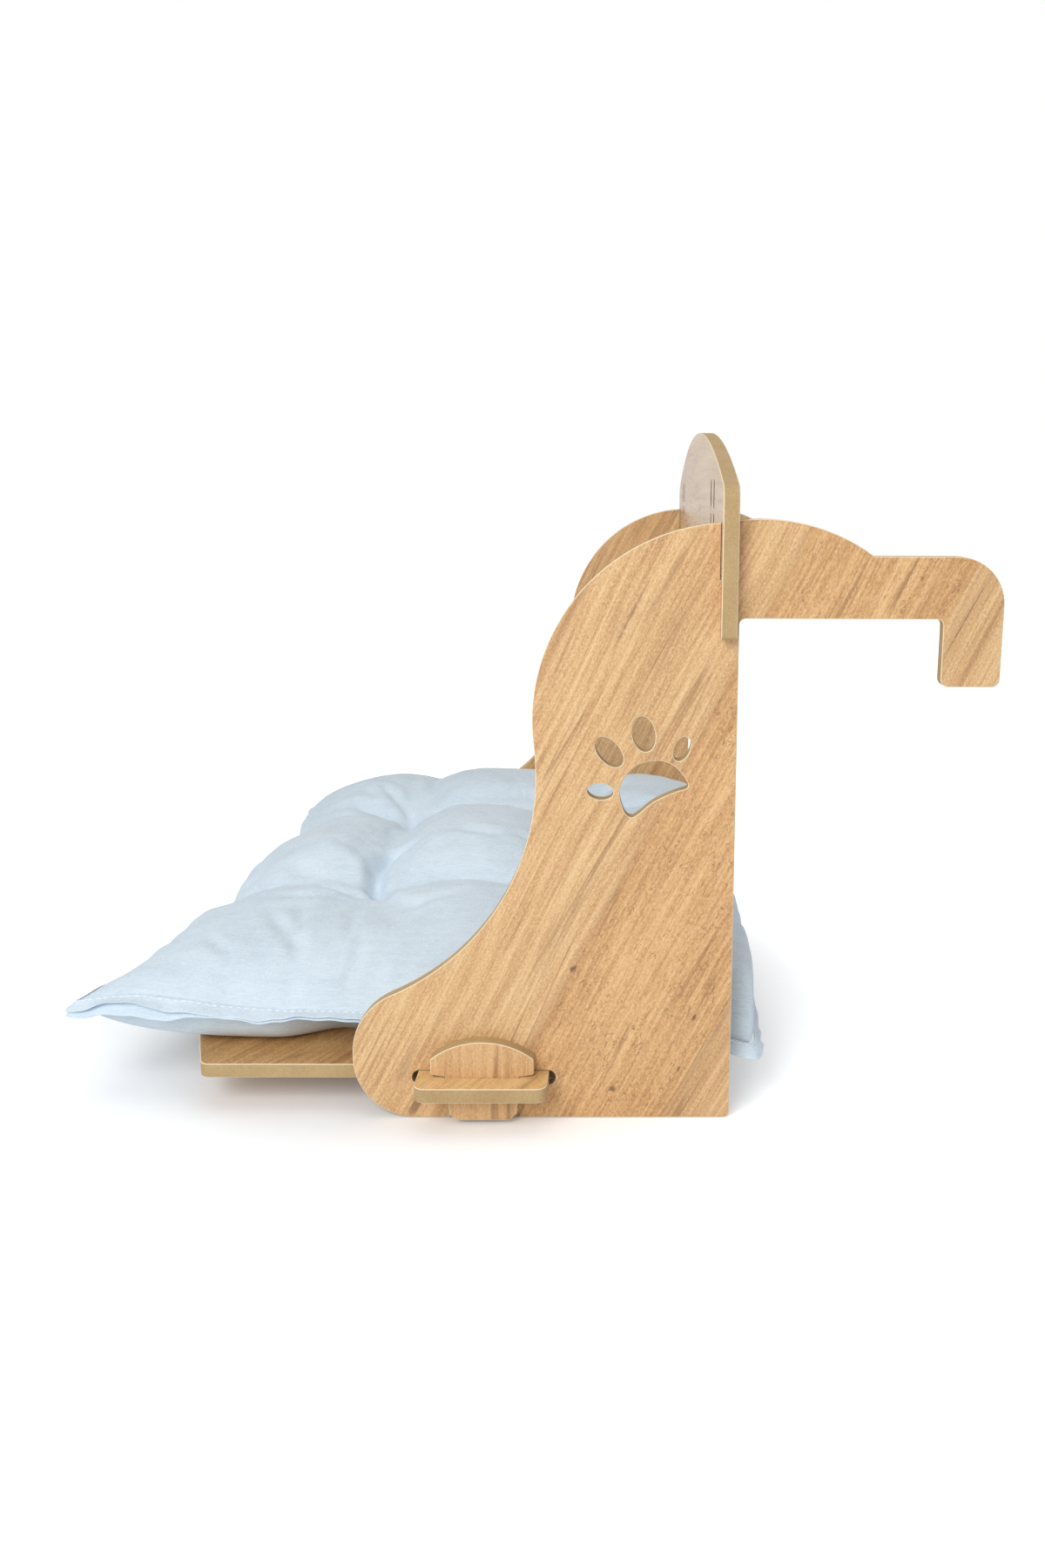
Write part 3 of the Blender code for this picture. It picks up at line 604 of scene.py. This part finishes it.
def finish_boards():
    """Give each board its print: slanting on the panels and the shelf, lengthwise on the other boards."""
    panel = dict(thickness_axis=Y_AXIS, **grain_directions(GRAIN_ANGLE, Z_AXIS))
    key = dict(thickness_axis=Y_AXIS, along=Z_AXIS, across=X_AXIS, planks=KEY_PLANKS, contrast=KEY_CONTRAST)
    looks = {
        "near_side_panel": dict(panel, shift=0.31, planks=SIDE_PLANKS, spots=SIDE_SPOTS),
        "far_side_panel": dict(panel, shift=1.17, planks=FAR_PLANKS),
        "near_wedge_key": dict(key, shift=2.05),
        "far_wedge_key": dict(key, shift=2.61),
        "shelf_board": dict(thickness_axis=Z_AXIS, **grain_directions(SHELF_GRAIN, Y_AXIS), shift=3.4,
                            planks=SHELF_PLANKS, tint=SHELF_TINT),
        "headboard": dict(thickness_axis=X_AXIS, along=Y_AXIS, across=Z_AXIS, shift=4.2,
                          planks=HEADBOARD_PLANKS, tint=HEADBOARD_TINT, gloss=HEADBOARD_GLOSS,
                          shaded_slots=SLOT_EDGES),
    }
    for name, look in looks.items():
        material = board_material(name + "_print", **look)
        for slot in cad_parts[name].material_slots:
            slot.material = material


def grid_lines(flat, cells):
    """Positions of the cover's grid lines across the flat cloth, from its middle."""
    half = flat / 2
    border = [-half + FLANGE * step / FLANGE_CELLS for step in range(FLANGE_CELLS)]
    inner = [(-1 + 2 * step / cells) * (half - FLANGE) for step in range(cells + 1)]
    return border + inner + [-value for value in reversed(border)]


def cover_lines():
    """The cover's grid lines, front to rear and near to far."""
    return [grid_lines(flat, cells) for flat, cells in zip(FLAT_SIZE, CELLS)]


def smooth_step(share):
    share = max(0.0, min(1.0, share))
    return share * share * (3 - 2 * share)


def fade(value, start, end):
    """0 up to the start, 1 from the end on, smooth between them."""
    return smooth_step((value - start) / (end - start))


def bell(value, middle, width):
    return math.exp(-((value - middle) / width) ** 2)


def tuft_spots():
    """The four sewn tufts, across the filled cushion from its middle."""
    return [(side * HALF_X / 3 + shift, row * HALF_Y / 3)
            for side in (-1, 1) for row, shift in zip((-1, 1), TUFT_SHIFTS)]


def hollow_share(x, y, u):
    """How much of the crown the tufts and the valleys between them take away."""
    pull = 0.0
    valley = 0.0
    middle_shift = sum(TUFT_SHIFTS) / 2
    for line_x in (-HALF_X / 3, HALF_X / 3):
        valley = max(valley, VALLEY_DEPTH * bell(x, line_x + middle_shift, VALLEY_RADIUS))
    for tuft_x, tuft_y in tuft_spots():
        away = math.hypot(x - tuft_x, y - tuft_y)
        pull = max(pull, math.exp(-(away / TUFT_RADIUS) ** 1.3))
    forward = max(0.0, min(1.0, -u))
    depth = VALLEY_DEPTH + (FRONT_VALLEY_DEPTH - VALLEY_DEPTH) * forward ** 2
    for line_y in (-HALF_Y / 3, HALF_Y / 3):
        valley = max(valley, depth * bell(y, line_y, VALLEY_RADIUS))
    return min(TUFT_DEPTH, TUFT_DEPTH * pull + valley * (1 - pull))


def seam_place(u, v):
    """Place across the cushion and height of the seam above the shelf; u and v run from -1 to 1."""
    pull = FRONT_PULL if u < 0 else REAR_PULL
    x = HALF_X * u * (1 - pull * (1 - v * v) * u * u) + CORNER_LAG * (1 - u) * (1 + v) / 4
    y = HALF_Y * v * (1 - SIDE_PULL * (1 - u * u) * v * v)
    x -= CORNER_REACH * bell(u, -1, CORNER_WIDTH) * bell(v, -1, CORNER_WIDTH)
    rear_tip = bell(u, 1, REAR_TIP_WIDTH) * bell(v, -1, REAR_TIP_WIDTH)
    x += REAR_TIP_SHIFT * rear_tip
    height = FRONT_SEAM + (REAR_SEAM - FRONT_SEAM) * (u + 1) / 2 - REAR_TIP_SAG * rear_tip
    height += SEAM_LIFT * bell(u, *SEAM_LIFT_AT) * fade(-v, *SEAM_LIFT_SIDE)
    return x, y, height


def crown(u, v, su, sv):
    """Rise of the upper sheet over the seam, and how far back its lobes bulge; su, sv end at the seam."""
    along = max(0.0, 1 - abs(su) ** SQUARENESS) ** (FRONT_SLOPE if u < 0 else REAR_SLOPE)
    near_slope = NEAR_SLOPE + (NEAR_REAR_SLOPE - NEAR_SLOPE) * fade(u, *NEAR_REAR_AT)
    across = max(0.0, 1 - abs(sv) ** SQUARENESS) ** (near_slope if v < 0 else FAR_SLOPE)
    spared = (1 - FRONT_RELIEF * fade(-u, *FRONT_RELIEF_AT)) * (1 - REAR_RELIEF * fade(u, *REAR_RELIEF_AT))
    across *= 1 - NEAR_DROP * fade(-sv, *NEAR_DROP_AT) * spared
    across *= 1 - FAR_DROP * fade(sv, *FAR_DROP_AT)
    rise = TOP_RISE * along * across * (1 - hollow_share(HALF_X * u, HALF_Y * v, u))
    puff = max(0.0, 1 - abs(su) ** 14) * bell(su, *FRONT_PUFF_AT) * fade(-sv, *FRONT_PUFF_SIDE)
    rise += FRONT_PUFF * puff * across
    # three lobes across the front, parted by the two valleys
    lobe = LOBE_LEAST + (1 - LOBE_LEAST) * abs(math.sin(1.5 * math.pi * (v + 1)))
    forward = LOBE_REACH * lobe * max(0.0, 1 - abs(su - FRONT_BULGE_AT) / BULGE_WIDTH)
    back = REAR_REACH * smooth_step(1 - abs(su - REAR_BULGE_AT) / BULGE_WIDTH)
    back *= 1 - REAR_BULGE_LOSS * fade(v, *REAR_BULGE_SIDE)
    return rise, (back - forward) * across


def belly_share(u, v, su, sv):
    """How far the lower sheet has dropped from the seam, 1 where it lies on the shelf."""
    retreat = BELLY_RETREAT * fade(u, *BELLY_RETREAT_AT) if v < 0 else 0.0
    along = max(0.0, 1 - abs(su) ** BELLY_SQUARENESS)
    across = max(0.0, 1 - (abs(sv) + retreat * smooth_step(abs(sv) / 0.5)) ** BELLY_SQUARENESS)
    return (along * across) ** BELLY_SLOPE


def start_point(fx, fy, side, flange):
    """Where a point of the flat cover starts in the filled cushion; side is 1 above, -1 below."""
    u = fx / (FLAT_SIZE[0] / 2)
    v = fy / (FLAT_SIZE[1] / 2)
    su = max(-1.0, min(1.0, fx / (FLAT_SIZE[0] / 2 - FLANGE)))
    sv = max(-1.0, min(1.0, fy / (FLAT_SIZE[1] / 2 - FLANGE)))
    x, y, height = seam_place(u, v)
    ripple = 0.0
    if side > 0:
        rise, bulge = crown(u, v, su, sv)
        x += bulge
        height += rise
        ripple = noise.noise(Vector((fx * RIPPLE_CELLS, fy * RIPPLE_CELLS, RIPPLE_LAYER))) * RIPPLE
    else:
        height = height * (1 - belly_share(u, v, su, sv)) + CLOTH_HALF
    if flange:
        height += side * CLOTH_HALF
    return Vector((CUSHION_MIDDLE.x + x, y, SHELF_TOP + height + ripple))


def zone(i, j):
    """Where a grid point of the cover lies: in the flange, on the seam or in the filled field."""
    depth = min(i, j, LAST_I - i, LAST_J - j) - FLANGE_CELLS
    if depth < 0:
        return "flange"
    return "seam" if depth == 0 else "field"


def cover_cloth():
    """The cushion's two sheets of cloth, sewn along the stitch line, free in the flange."""
    xs, ys = cover_lines()
    points = []
    flat = []
    index = {}
    for side in (1, -1):
        for i, fx in enumerate(xs):
            for j, fy in enumerate(ys):
                if side < 0 and zone(i, j) == "seam":
                    index[side, i, j] = index[1, i, j]
                    continue
                index[side, i, j] = len(points)
                points.append(start_point(fx, fy, side, zone(i, j) == "flange"))
                flat.append(Vector((CUSHION_MIDDLE.x + fx, fy, SHELF_TOP + STRETCH_HEIGHT)))
    return index, points, flat, sheet_faces(index, LAST_I, LAST_J)


def sheet_faces(grid, last_i, last_j):
    """Faces of an upper and a lower sheet, each seen from outside; grid holds their corners."""
    faces = []
    for side in (1, -1):
        for i in range(last_i):
            for j in range(last_j):
                corners = [grid[side, i, j], grid[side, i + 1, j],
                           grid[side, i + 1, j + 1], grid[side, i, j + 1]]
                faces.append(corners if side > 0 else corners[::-1])
    return faces


def simulate_cover(points, flat, faces, pinned, filled):
    """Fill the sewn sheets with pressure and return where each point settles."""
    mesh = bpy.data.meshes.new("cover_cloth")
    mesh.from_pydata(points, [], faces)
    cover = link_object("cover_cloth", mesh)
    cover.shape_key_add(name="filled")
    key = cover.shape_key_add(name="flat")
    for spot, place in zip(key.data, flat):
        spot.co = place
    pins = cover.vertex_groups.new(name="pins")
    for vertex, weight in pinned.items():
        pins.add([vertex], weight, "REPLACE")
    cover.vertex_groups.new(name="filled").add(filled, 1.0, "REPLACE")

    cloth = cover.modifiers.new("fill", "CLOTH")
    for name, value in CLOTH.items():
        setattr(cloth.settings, name, value)
    cloth.settings.vertex_group_pressure = "filled"
    cloth.settings.vertex_group_mass = "pins"
    cloth.settings.rest_shape_key = key
    cloth.settings.effector_weights.gravity = 0.0
    cloth.collision_settings.use_collision = False
    cloth.collision_settings.use_self_collision = False
    cloth.point_cache.frame_start = 1
    cloth.point_cache.frame_end = FRAMES
    scene = bpy.context.scene
    for step in range(1, FRAMES + 1):
        scene.frame_set(step)
    settled = cover.evaluated_get(bpy.context.evaluated_depsgraph_get())
    result = np.empty(len(points) * 3)
    settled.to_mesh().vertices.foreach_get("co", result)
    settled.to_mesh_clear()
    bpy.data.objects.remove(cover, do_unlink=True)
    scene.frame_set(1)
    return result.reshape(-1, 3)


def nearest(values, wanted):
    return min(range(len(values)), key=lambda place: abs(values[place] - wanted))


def held_points(index, points):
    """Points of the cover that are held, with how firmly, and those that the filling presses on."""
    xs, ys = cover_lines()
    pinned = {}
    filled = []
    for i in range(LAST_I + 1):
        for j in range(LAST_J + 1):
            if zone(i, j) == "field":
                filled += [index[1, i, j], index[-1, i, j]]
                if points[index[-1, i, j]].z < SHELF_TOP + RESTING:
                    pinned[index[-1, i, j]] = 1.0
            elif zone(i, j) == "seam":
                pinned[index[1, i, j]] = SEAM_HOLD
    for tuft_x, tuft_y in tuft_spots():
        i = nearest(xs, tuft_x * FLAT_SIZE[0] / 2 / HALF_X)
        j = nearest(ys, tuft_y * FLAT_SIZE[1] / 2 / HALF_Y)
        pinned[index[1, i, j]] = 1.0
    return pinned, filled


def press_folds(sheet):
    """Press the folds into the settled upper sheet, each with a low shoulder beside it."""
    for line, depth, width in FOLDS:
        stops = [np.array(point) for point in line]
        lengths = [np.linalg.norm(b - a) for a, b in zip(stops, stops[1:])]
        nearest_away = np.full(sheet.shape[:2], 1.0)
        share = np.zeros(sheet.shape[:2])
        passed = 0.0
        for a, b, length in zip(stops, stops[1:], lengths):
            from_a = sheet[..., :2] - a
            along = np.clip(from_a @ (b - a) / length ** 2, 0, 1)
            away = np.linalg.norm(from_a - along[..., None] * (b - a), axis=-1)
            closer = away < nearest_away
            nearest_away = np.where(closer, away, nearest_away)
            share = np.where(closer, (passed + along * length) / sum(lengths), share)
            passed += length
        fade_out = np.sqrt(np.clip(np.sin(np.pi * np.clip(share, 0.02, 0.98)), 0, 1))
        groove = np.exp(-(nearest_away / width) ** 2)
        groove -= SHOULDER * np.exp(-(nearest_away / width - SHOULDER_AT) ** 2)
        sheet[..., 2] -= depth * fade_out * groove


def settle_cover():
    """Grid points of the finished cover, one array for the upper sheet and one for the lower."""
    index, points, flat, faces = cover_cloth()
    settled = simulate_cover(points, flat, faces, *held_points(index, points))
    settled[:, 1] = np.clip(settled[:, 1], -SIDE_REACH, SIDE_REACH)
    sheets = {}
    for side in (1, -1):
        order = [index[side, i, j] for i in range(LAST_I + 1) for j in range(LAST_J + 1)]
        sheets[side] = settled[order].reshape((LAST_I + 1, LAST_J + 1, 3))
    inner = slice(FLANGE_CELLS + 1, -FLANGE_CELLS - 1)
    press_folds(sheets[1][inner, inner])
    return sheets


def smooth_object(shape, name, subdivided):
    """An object from a finished bmesh, shaded smooth and perhaps subdivided once."""
    mesh = bpy.data.meshes.new(name)
    shape.to_mesh(mesh)
    shape.free()
    mesh.shade_smooth()
    made = link_object(name, mesh)
    if subdivided:
        modifier = made.modifiers.new("subdivide", "SUBSURF")
        modifier.levels = 1
        modifier.render_levels = 1
    return made


def cushion_body(sheets):
    """The filled part of the cover as one closed mesh, inside the stitch line."""
    low = FLANGE_CELLS
    shape = bmesh.new()
    grid = {}
    for side in (1, -1):
        for i in range(CELLS[0] + 1):
            for j in range(CELLS[1] + 1):
                if side < 0 and zone(i + low, j + low) == "seam":
                    grid[side, i, j] = grid[1, i, j]
                else:
                    grid[side, i, j] = shape.verts.new(sheets[side][i + low, j + low])
    for corners in sheet_faces(grid, *CELLS):
        shape.faces.new(corners)
    bmesh.ops.recalc_face_normals(shape, faces=shape.faces)
    return smooth_object(shape, "cushion_cover", True)


def seam_loop(sheet):
    """Points round the stitch line, anticlockwise from above, each with the side that it is on."""
    low = FLANGE_CELLS
    high_i = LAST_I - low
    high_j = LAST_J - low
    loop = [(sheet[i, low], "near") for i in range(low, high_i)]
    loop += [(sheet[high_i, j], "rear") for j in range(low, high_j)]
    loop += [(sheet[i, high_j], "far") for i in range(high_i, low, -1)]
    loop += [(sheet[low, j], "front") for j in range(high_j, low, -1)]
    return [(Vector(point), side) for point, side in loop]


def flange_ways(loop):
    """Level vectors square to the stitch line; a corner's is longer, so that the flange is mitred."""
    ways = []
    for k, (point, side) in enumerate(loop):
        before, side_before = loop[k - 1]
        after = loop[(k + 1) % len(loop)][0]
        runs = [point - before, after - point] if side_before != side else [after - before]
        ways.append(sum((Vector((run.y, -run.x, 0)).normalized() for run in runs), Vector((0, 0, 0))))
    return ways


def flange_droop(point):
    """How steeply the flange hangs: most along the front, less at the rear, least along the sides."""
    share = (point.x - CUSHION_LOW.x) / (CUSHION_HIGH.x - CUSHION_LOW.x)
    side = min(1.0, abs(point.y) / SIDE_REACH)
    sides = SIDE_DROOP * side ** 8 * (1 - share)
    front = FRONT_DROOP * (1 - side ** 5) * max(0.0, 1 - share * 3)
    rear = REAR_DROOP * max(0.0, share - 0.8) / 0.2
    return LEAST_DROOP + sides + front + rear


def flange_point(point, way, reach, layer):
    """A point of the flange, reach metres out from the stitches; layer is 1 above, -1 below."""
    droop = flange_droop(point)
    slant = math.sqrt(1 + droop * droop)
    out = point + way * (reach / slant)
    out.z -= reach * droop / slant
    share = max(0.0, reach / FLANGE)
    near = fade(-point.y, *NEAR_END)
    rear = near * fade(point.x - CUSHION_HIGH.x, *REAR_END)
    spot = Vector((point.x * WAVE_CELLS, point.y * WAVE_CELLS, 0.0))
    wave = sum(noise.noise(spot * finer) * height for finer, height in FLANGE_WAVES)
    out.z += share * (1 + REAR_LIVELINESS * rear) * wave
    finer, height = REAR_WAVE
    out.x += share * rear * noise.noise(spot * finer) * height
    front = near * bell(point.x - CUSHION_LOW.x, *FRONT_GAP_AT)
    chance = GAP_LEAST + noise.noise(Vector((point.x * GAP_CELLS, point.y * GAP_CELLS, GAP_LAYER)))
    gap = FLANGE_GAP * max(0.0, chance, FRONT_GAP * front)
    out.z += layer * (FLANGE_CLOTH * 0.5 + gap * share ** 1.5)
    out.y = max(-SIDE_REACH, min(SIDE_REACH, out.y))
    return out


def cushion_flange(loop, ways):
    """The flat sewn border: two layers of cloth past the stitch line, each a thin closed band."""
    shape = bmesh.new()
    for layer in (1, -1):
        rows = []
        for (point, _), way in zip(loop, ways):
            faces = [flange_point(point, way, reach, layer) for reach in FLANGE_REACHES]
            under = [spot - Vector((0, 0, layer * FLANGE_CLOTH)) for spot in reversed(faces)]
            rows.append([shape.verts.new(spot) for spot in faces + under])
        for row, other in zip(rows, rows[1:] + rows[:1]):
            for k in range(len(row)):
                m = (k + 1) % len(row)
                shape.faces.new((row[k], other[k], other[m], row[m]))
    bmesh.ops.recalc_face_normals(shape, faces=shape.faces)
    return smooth_object(shape, "cushion_flange", True)


def along_loop(path, lengths, distance):
    """The point a distance along a closed loop."""
    distance %= sum(lengths)
    for k, length in enumerate(lengths):
        if distance <= length:
            return path[k].lerp(path[(k + 1) % len(path)], distance / max(length, 1e-9))
        distance -= length
    return path[0].copy()


def thread_run(shape, start, end):
    """One stitch: a short thread whose two ends dive into the cloth."""
    run = end - start
    if run.length < THREAD_RADIUS:
        return
    forward = run.normalized()
    across = forward.cross(Vector((0, 0, 1))).normalized()
    up = across.cross(forward)
    rings = []
    for share, width, sink in THREAD_RINGS:
        centre = start + run * share - up * sink * THREAD_RADIUS
        angles = [2 * math.pi * turn / THREAD_SIDES for turn in range(THREAD_SIDES)]
        spokes = [across * math.cos(angle) + up * math.sin(angle) for angle in angles]
        rings.append([shape.verts.new(centre + spoke * THREAD_RADIUS * width) for spoke in spokes])
    for ring, other in zip(rings, rings[1:]):
        for turn in range(THREAD_SIDES):
            after = (turn + 1) % THREAD_SIDES
            shape.faces.new((ring[turn], ring[after], other[after], other[turn]))
    shape.faces.new(rings[0][::-1])
    shape.faces.new(rings[-1])


def cushion_stitches(loop, ways):
    """Lockstitches along the seam, a short thread run on each side of the flange."""
    path = [flange_point(point, way, STITCH_INSET, 1) for (point, _), way in zip(loop, ways)]
    lengths = [(b - a).length for a, b in zip(path, path[1:] + path[:1])]
    seam = sum(lengths)
    count = round(seam / STITCH_PERIOD)
    raised = THREAD_RADIUS * 0.6 + FLANGE_CLOTH * 0.15
    shape = bmesh.new()
    for number in range(count):
        for slip, height in ((0.0, raised), (0.5, -raised - 2 * FLANGE_CLOTH)):
            start = (number + slip) * seam / count
            ends = [along_loop(path, lengths, start + step) for step in (0.0, STITCH_LENGTH)]
            lift = Vector((0, 0, height))
            thread_run(shape, ends[0] + lift, ends[1] + lift)
    return smooth_object(shape, "cushion_stitches", False)


def cotton_material():
    """Washed cotton: uneven yarns in a plain weave, slubs, dark specks, mottling, shallow wrinkles."""
    material, tree, shader = new_material("washed_cotton")
    place = object_place(tree)

    def yarn_noise(scale, detail=2.0):
        spot = shader_node(tree, "ShaderNodeMapping", {"Vector": place, "Scale": scale}).outputs[0]
        return noise_at(tree, spot, 1.0, detail, 0.6)

    mottle = noise_at(tree, place, MOTTLE_CELLS, 4.0, 0.6)
    weft = yarn_noise(WEFT_CELLS)
    warp = yarn_noise(WARP_CELLS)
    band = yarn_noise(BAND_CELLS, 3.0)
    share = total(tree, centred(tree, mottle, 0.36), centred(tree, band, 0.22), centred(tree, weft, 0.50),
                  centred(tree, warp, 0.46), 0.5)
    colour = ramp(tree, share, COTTON_RAMP)
    slub = above(tree, yarn_noise(SLUB_CELLS), *SLUB_SHOWN)
    colour = mix(tree, product(tree, slub, SLUB_STRENGTH), colour, COTTON_SLUB)
    inputs = {"Vector": place, "Scale": SPECK_CELLS, "Randomness": 1.0}
    cells = shader_node(tree, "ShaderNodeTexVoronoi", inputs).outputs
    lot = shader_node(tree, "ShaderNodeSeparateColor", {0: cells["Color"]}).outputs[0]
    rare = maths(tree, "GREATER_THAN", lot, SPECK_RARITY)
    speck = product(tree, ramp(tree, cells["Distance"], SPECK_REACH), rare, SPECK_STRENGTH)
    tree.links.new(mix(tree, speck, colour, COTTON_SPECK), shader.inputs["Base Color"])
    shader.inputs["Roughness"].default_value = 0.86
    shader.inputs["Specular IOR Level"].default_value = 0.25
    shader.inputs["Sheen Weight"].default_value = 0.22
    shader.inputs["Sheen Roughness"].default_value = 0.5

    wrinkle = ridge(tree, noise_at(tree, place, WRINKLE_CELLS, 3.0, 0.55, 0.6), WRINKLE_WIDTH)
    wrinkled = above(tree, noise_at(tree, place, WRINKLED_CELLS, 1.0), *WRINKLED_SHOWN)
    height = total(tree, product(tree, weft, 0.5), product(tree, warp, 0.5), product(tree, mottle, 0.9),
                   product(tree, wrinkle, wrinkled))
    add_relief(tree, shader, height, 0.45, 0.0006)
    return material


def thread_material():
    """Pale cotton sewing thread, twisted."""
    material, tree, shader = new_material("sewing_thread")
    twist = noise_at(tree, object_place(tree), TWIST_CELLS, 2.0, 0.6)
    tree.links.new(ramp(tree, twist, THREAD_RAMP), shader.inputs["Base Color"])
    shader.inputs["Roughness"].default_value = 0.7
    add_relief(tree, shader, twist, 0.5, 0.0002)
    return material


def build_cushion():
    """The cushion's filled cover, its flange and its stitches, in the place of the plain solid."""
    sheets = settle_cover()
    loop = seam_loop(sheets[1])
    ways = flange_ways(loop)
    cotton = cotton_material()
    body = cushion_body(sheets)
    flange = cushion_flange(loop, ways)
    stitches = cushion_stitches(loop, ways)
    for piece, material in ((body, cotton), (flange, cotton), (stitches, thread_material())):
        piece.data.materials.append(material)
        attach(piece, "cushion")
    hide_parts("cushion")


def seen_directly(tree):
    """1 for what the camera sees, straight, mirrored or through something; 0 for light on the object."""
    light_path = shader_node(tree, "ShaderNodeLightPath").outputs
    seen = maths(tree, "MAXIMUM", light_path["Is Camera Ray"], light_path["Is Glossy Ray"])
    return maths(tree, "MAXIMUM", seen, light_path["Is Transmission Ray"])


def build_floor():
    """A pale floor whose glow is low round the bed, where its shadow lies, and evens out beyond."""
    half = FLOOR_HALF
    mesh = bpy.data.meshes.new("floor")
    corners = [(-half, -half, 0), (half, -half, 0), (half, half, 0), (-half, half, 0)]
    mesh.from_pydata(corners, [], [(0, 1, 2, 3)])
    floor = link_object("floor", mesh)
    floor.location.z = -FLOOR_SINK
    material, tree, shader = new_material("pale_floor")
    shader.inputs["Base Color"].default_value = FLOOR_COLOUR
    shader.inputs["Roughness"].default_value = 0.9
    shader.inputs["Specular IOR Level"].default_value = 0.1
    shader.inputs["Emission Color"].default_value = WHITE
    away = vector_maths(tree, "DISTANCE", object_place(tree), SHADE_CENTRE)["Value"]
    limits = dict(enumerate((away, *SHADE_REACH, *FLOOR_GLOW)))
    glow = shader_node(tree, "ShaderNodeMapRange", limits).outputs[0]
    tree.links.new(product(tree, seen_directly(tree), glow), shader.inputs["Emission Strength"])
    mesh.materials.append(material)


def build_world():
    """An even surround that looks white and lights the bed less than it shows."""
    world = bpy.data.worlds.new("studio")
    bpy.context.scene.world = world
    world.use_nodes = True
    tree = world.node_tree
    tree.nodes.clear()
    strength = total(tree, product(tree, seen_directly(tree), 1.0 - WORLD_LIGHT), WORLD_LIGHT)
    background = shader_node(tree, "ShaderNodeBackground", {"Color": WHITE, "Strength": strength})
    shader_node(tree, "ShaderNodeOutputWorld", {"Surface": background.outputs[0]})


def build_lamps():
    """Two wide, soft studio lamps."""
    for name, place, target, width, watts in LAMPS:
        data = bpy.data.lights.new(name, "AREA")
        data.shape = "DISK"
        data.size = width
        data.energy = watts
        lamp = link_object(name, data)
        lamp.location = place
        lamp.rotation_mode = "QUATERNION"
        lamp.rotation_quaternion = (Vector(target) - Vector(place)).to_track_quat("-Z", "Y")


def build_camera():
    """The photograph's camera: level turn, tilt and roll, with its off-centre framing."""
    data = bpy.data.cameras.new("camera")
    data.sensor_width = SENSOR
    data.lens = FOCAL_PIXELS / IMAGE_SIZE[1] * SENSOR
    data.shift_x = (IMAGE_SIZE[0] / 2 - PRINCIPAL_COLUMN) / IMAGE_SIZE[1]
    data.clip_start, data.clip_end = CLIPPING
    camera = link_object("camera", data)
    turn = Matrix.Rotation(math.radians(-CAMERA_YAW), 4, "Z")
    turn = turn @ Matrix.Rotation(math.radians(90 - CAMERA_PITCH), 4, "X")
    turn = turn @ Matrix.Rotation(math.radians(CAMERA_ROLL), 4, "Z")
    camera.matrix_world = Matrix.Translation(CAMERA_AT) @ turn
    bpy.context.scene.camera = camera


bpy.context.scene.view_settings.view_transform = "Standard"
build_camera()
build_floor()
build_world()
build_lamps()
finish_boards()
build_cushion()
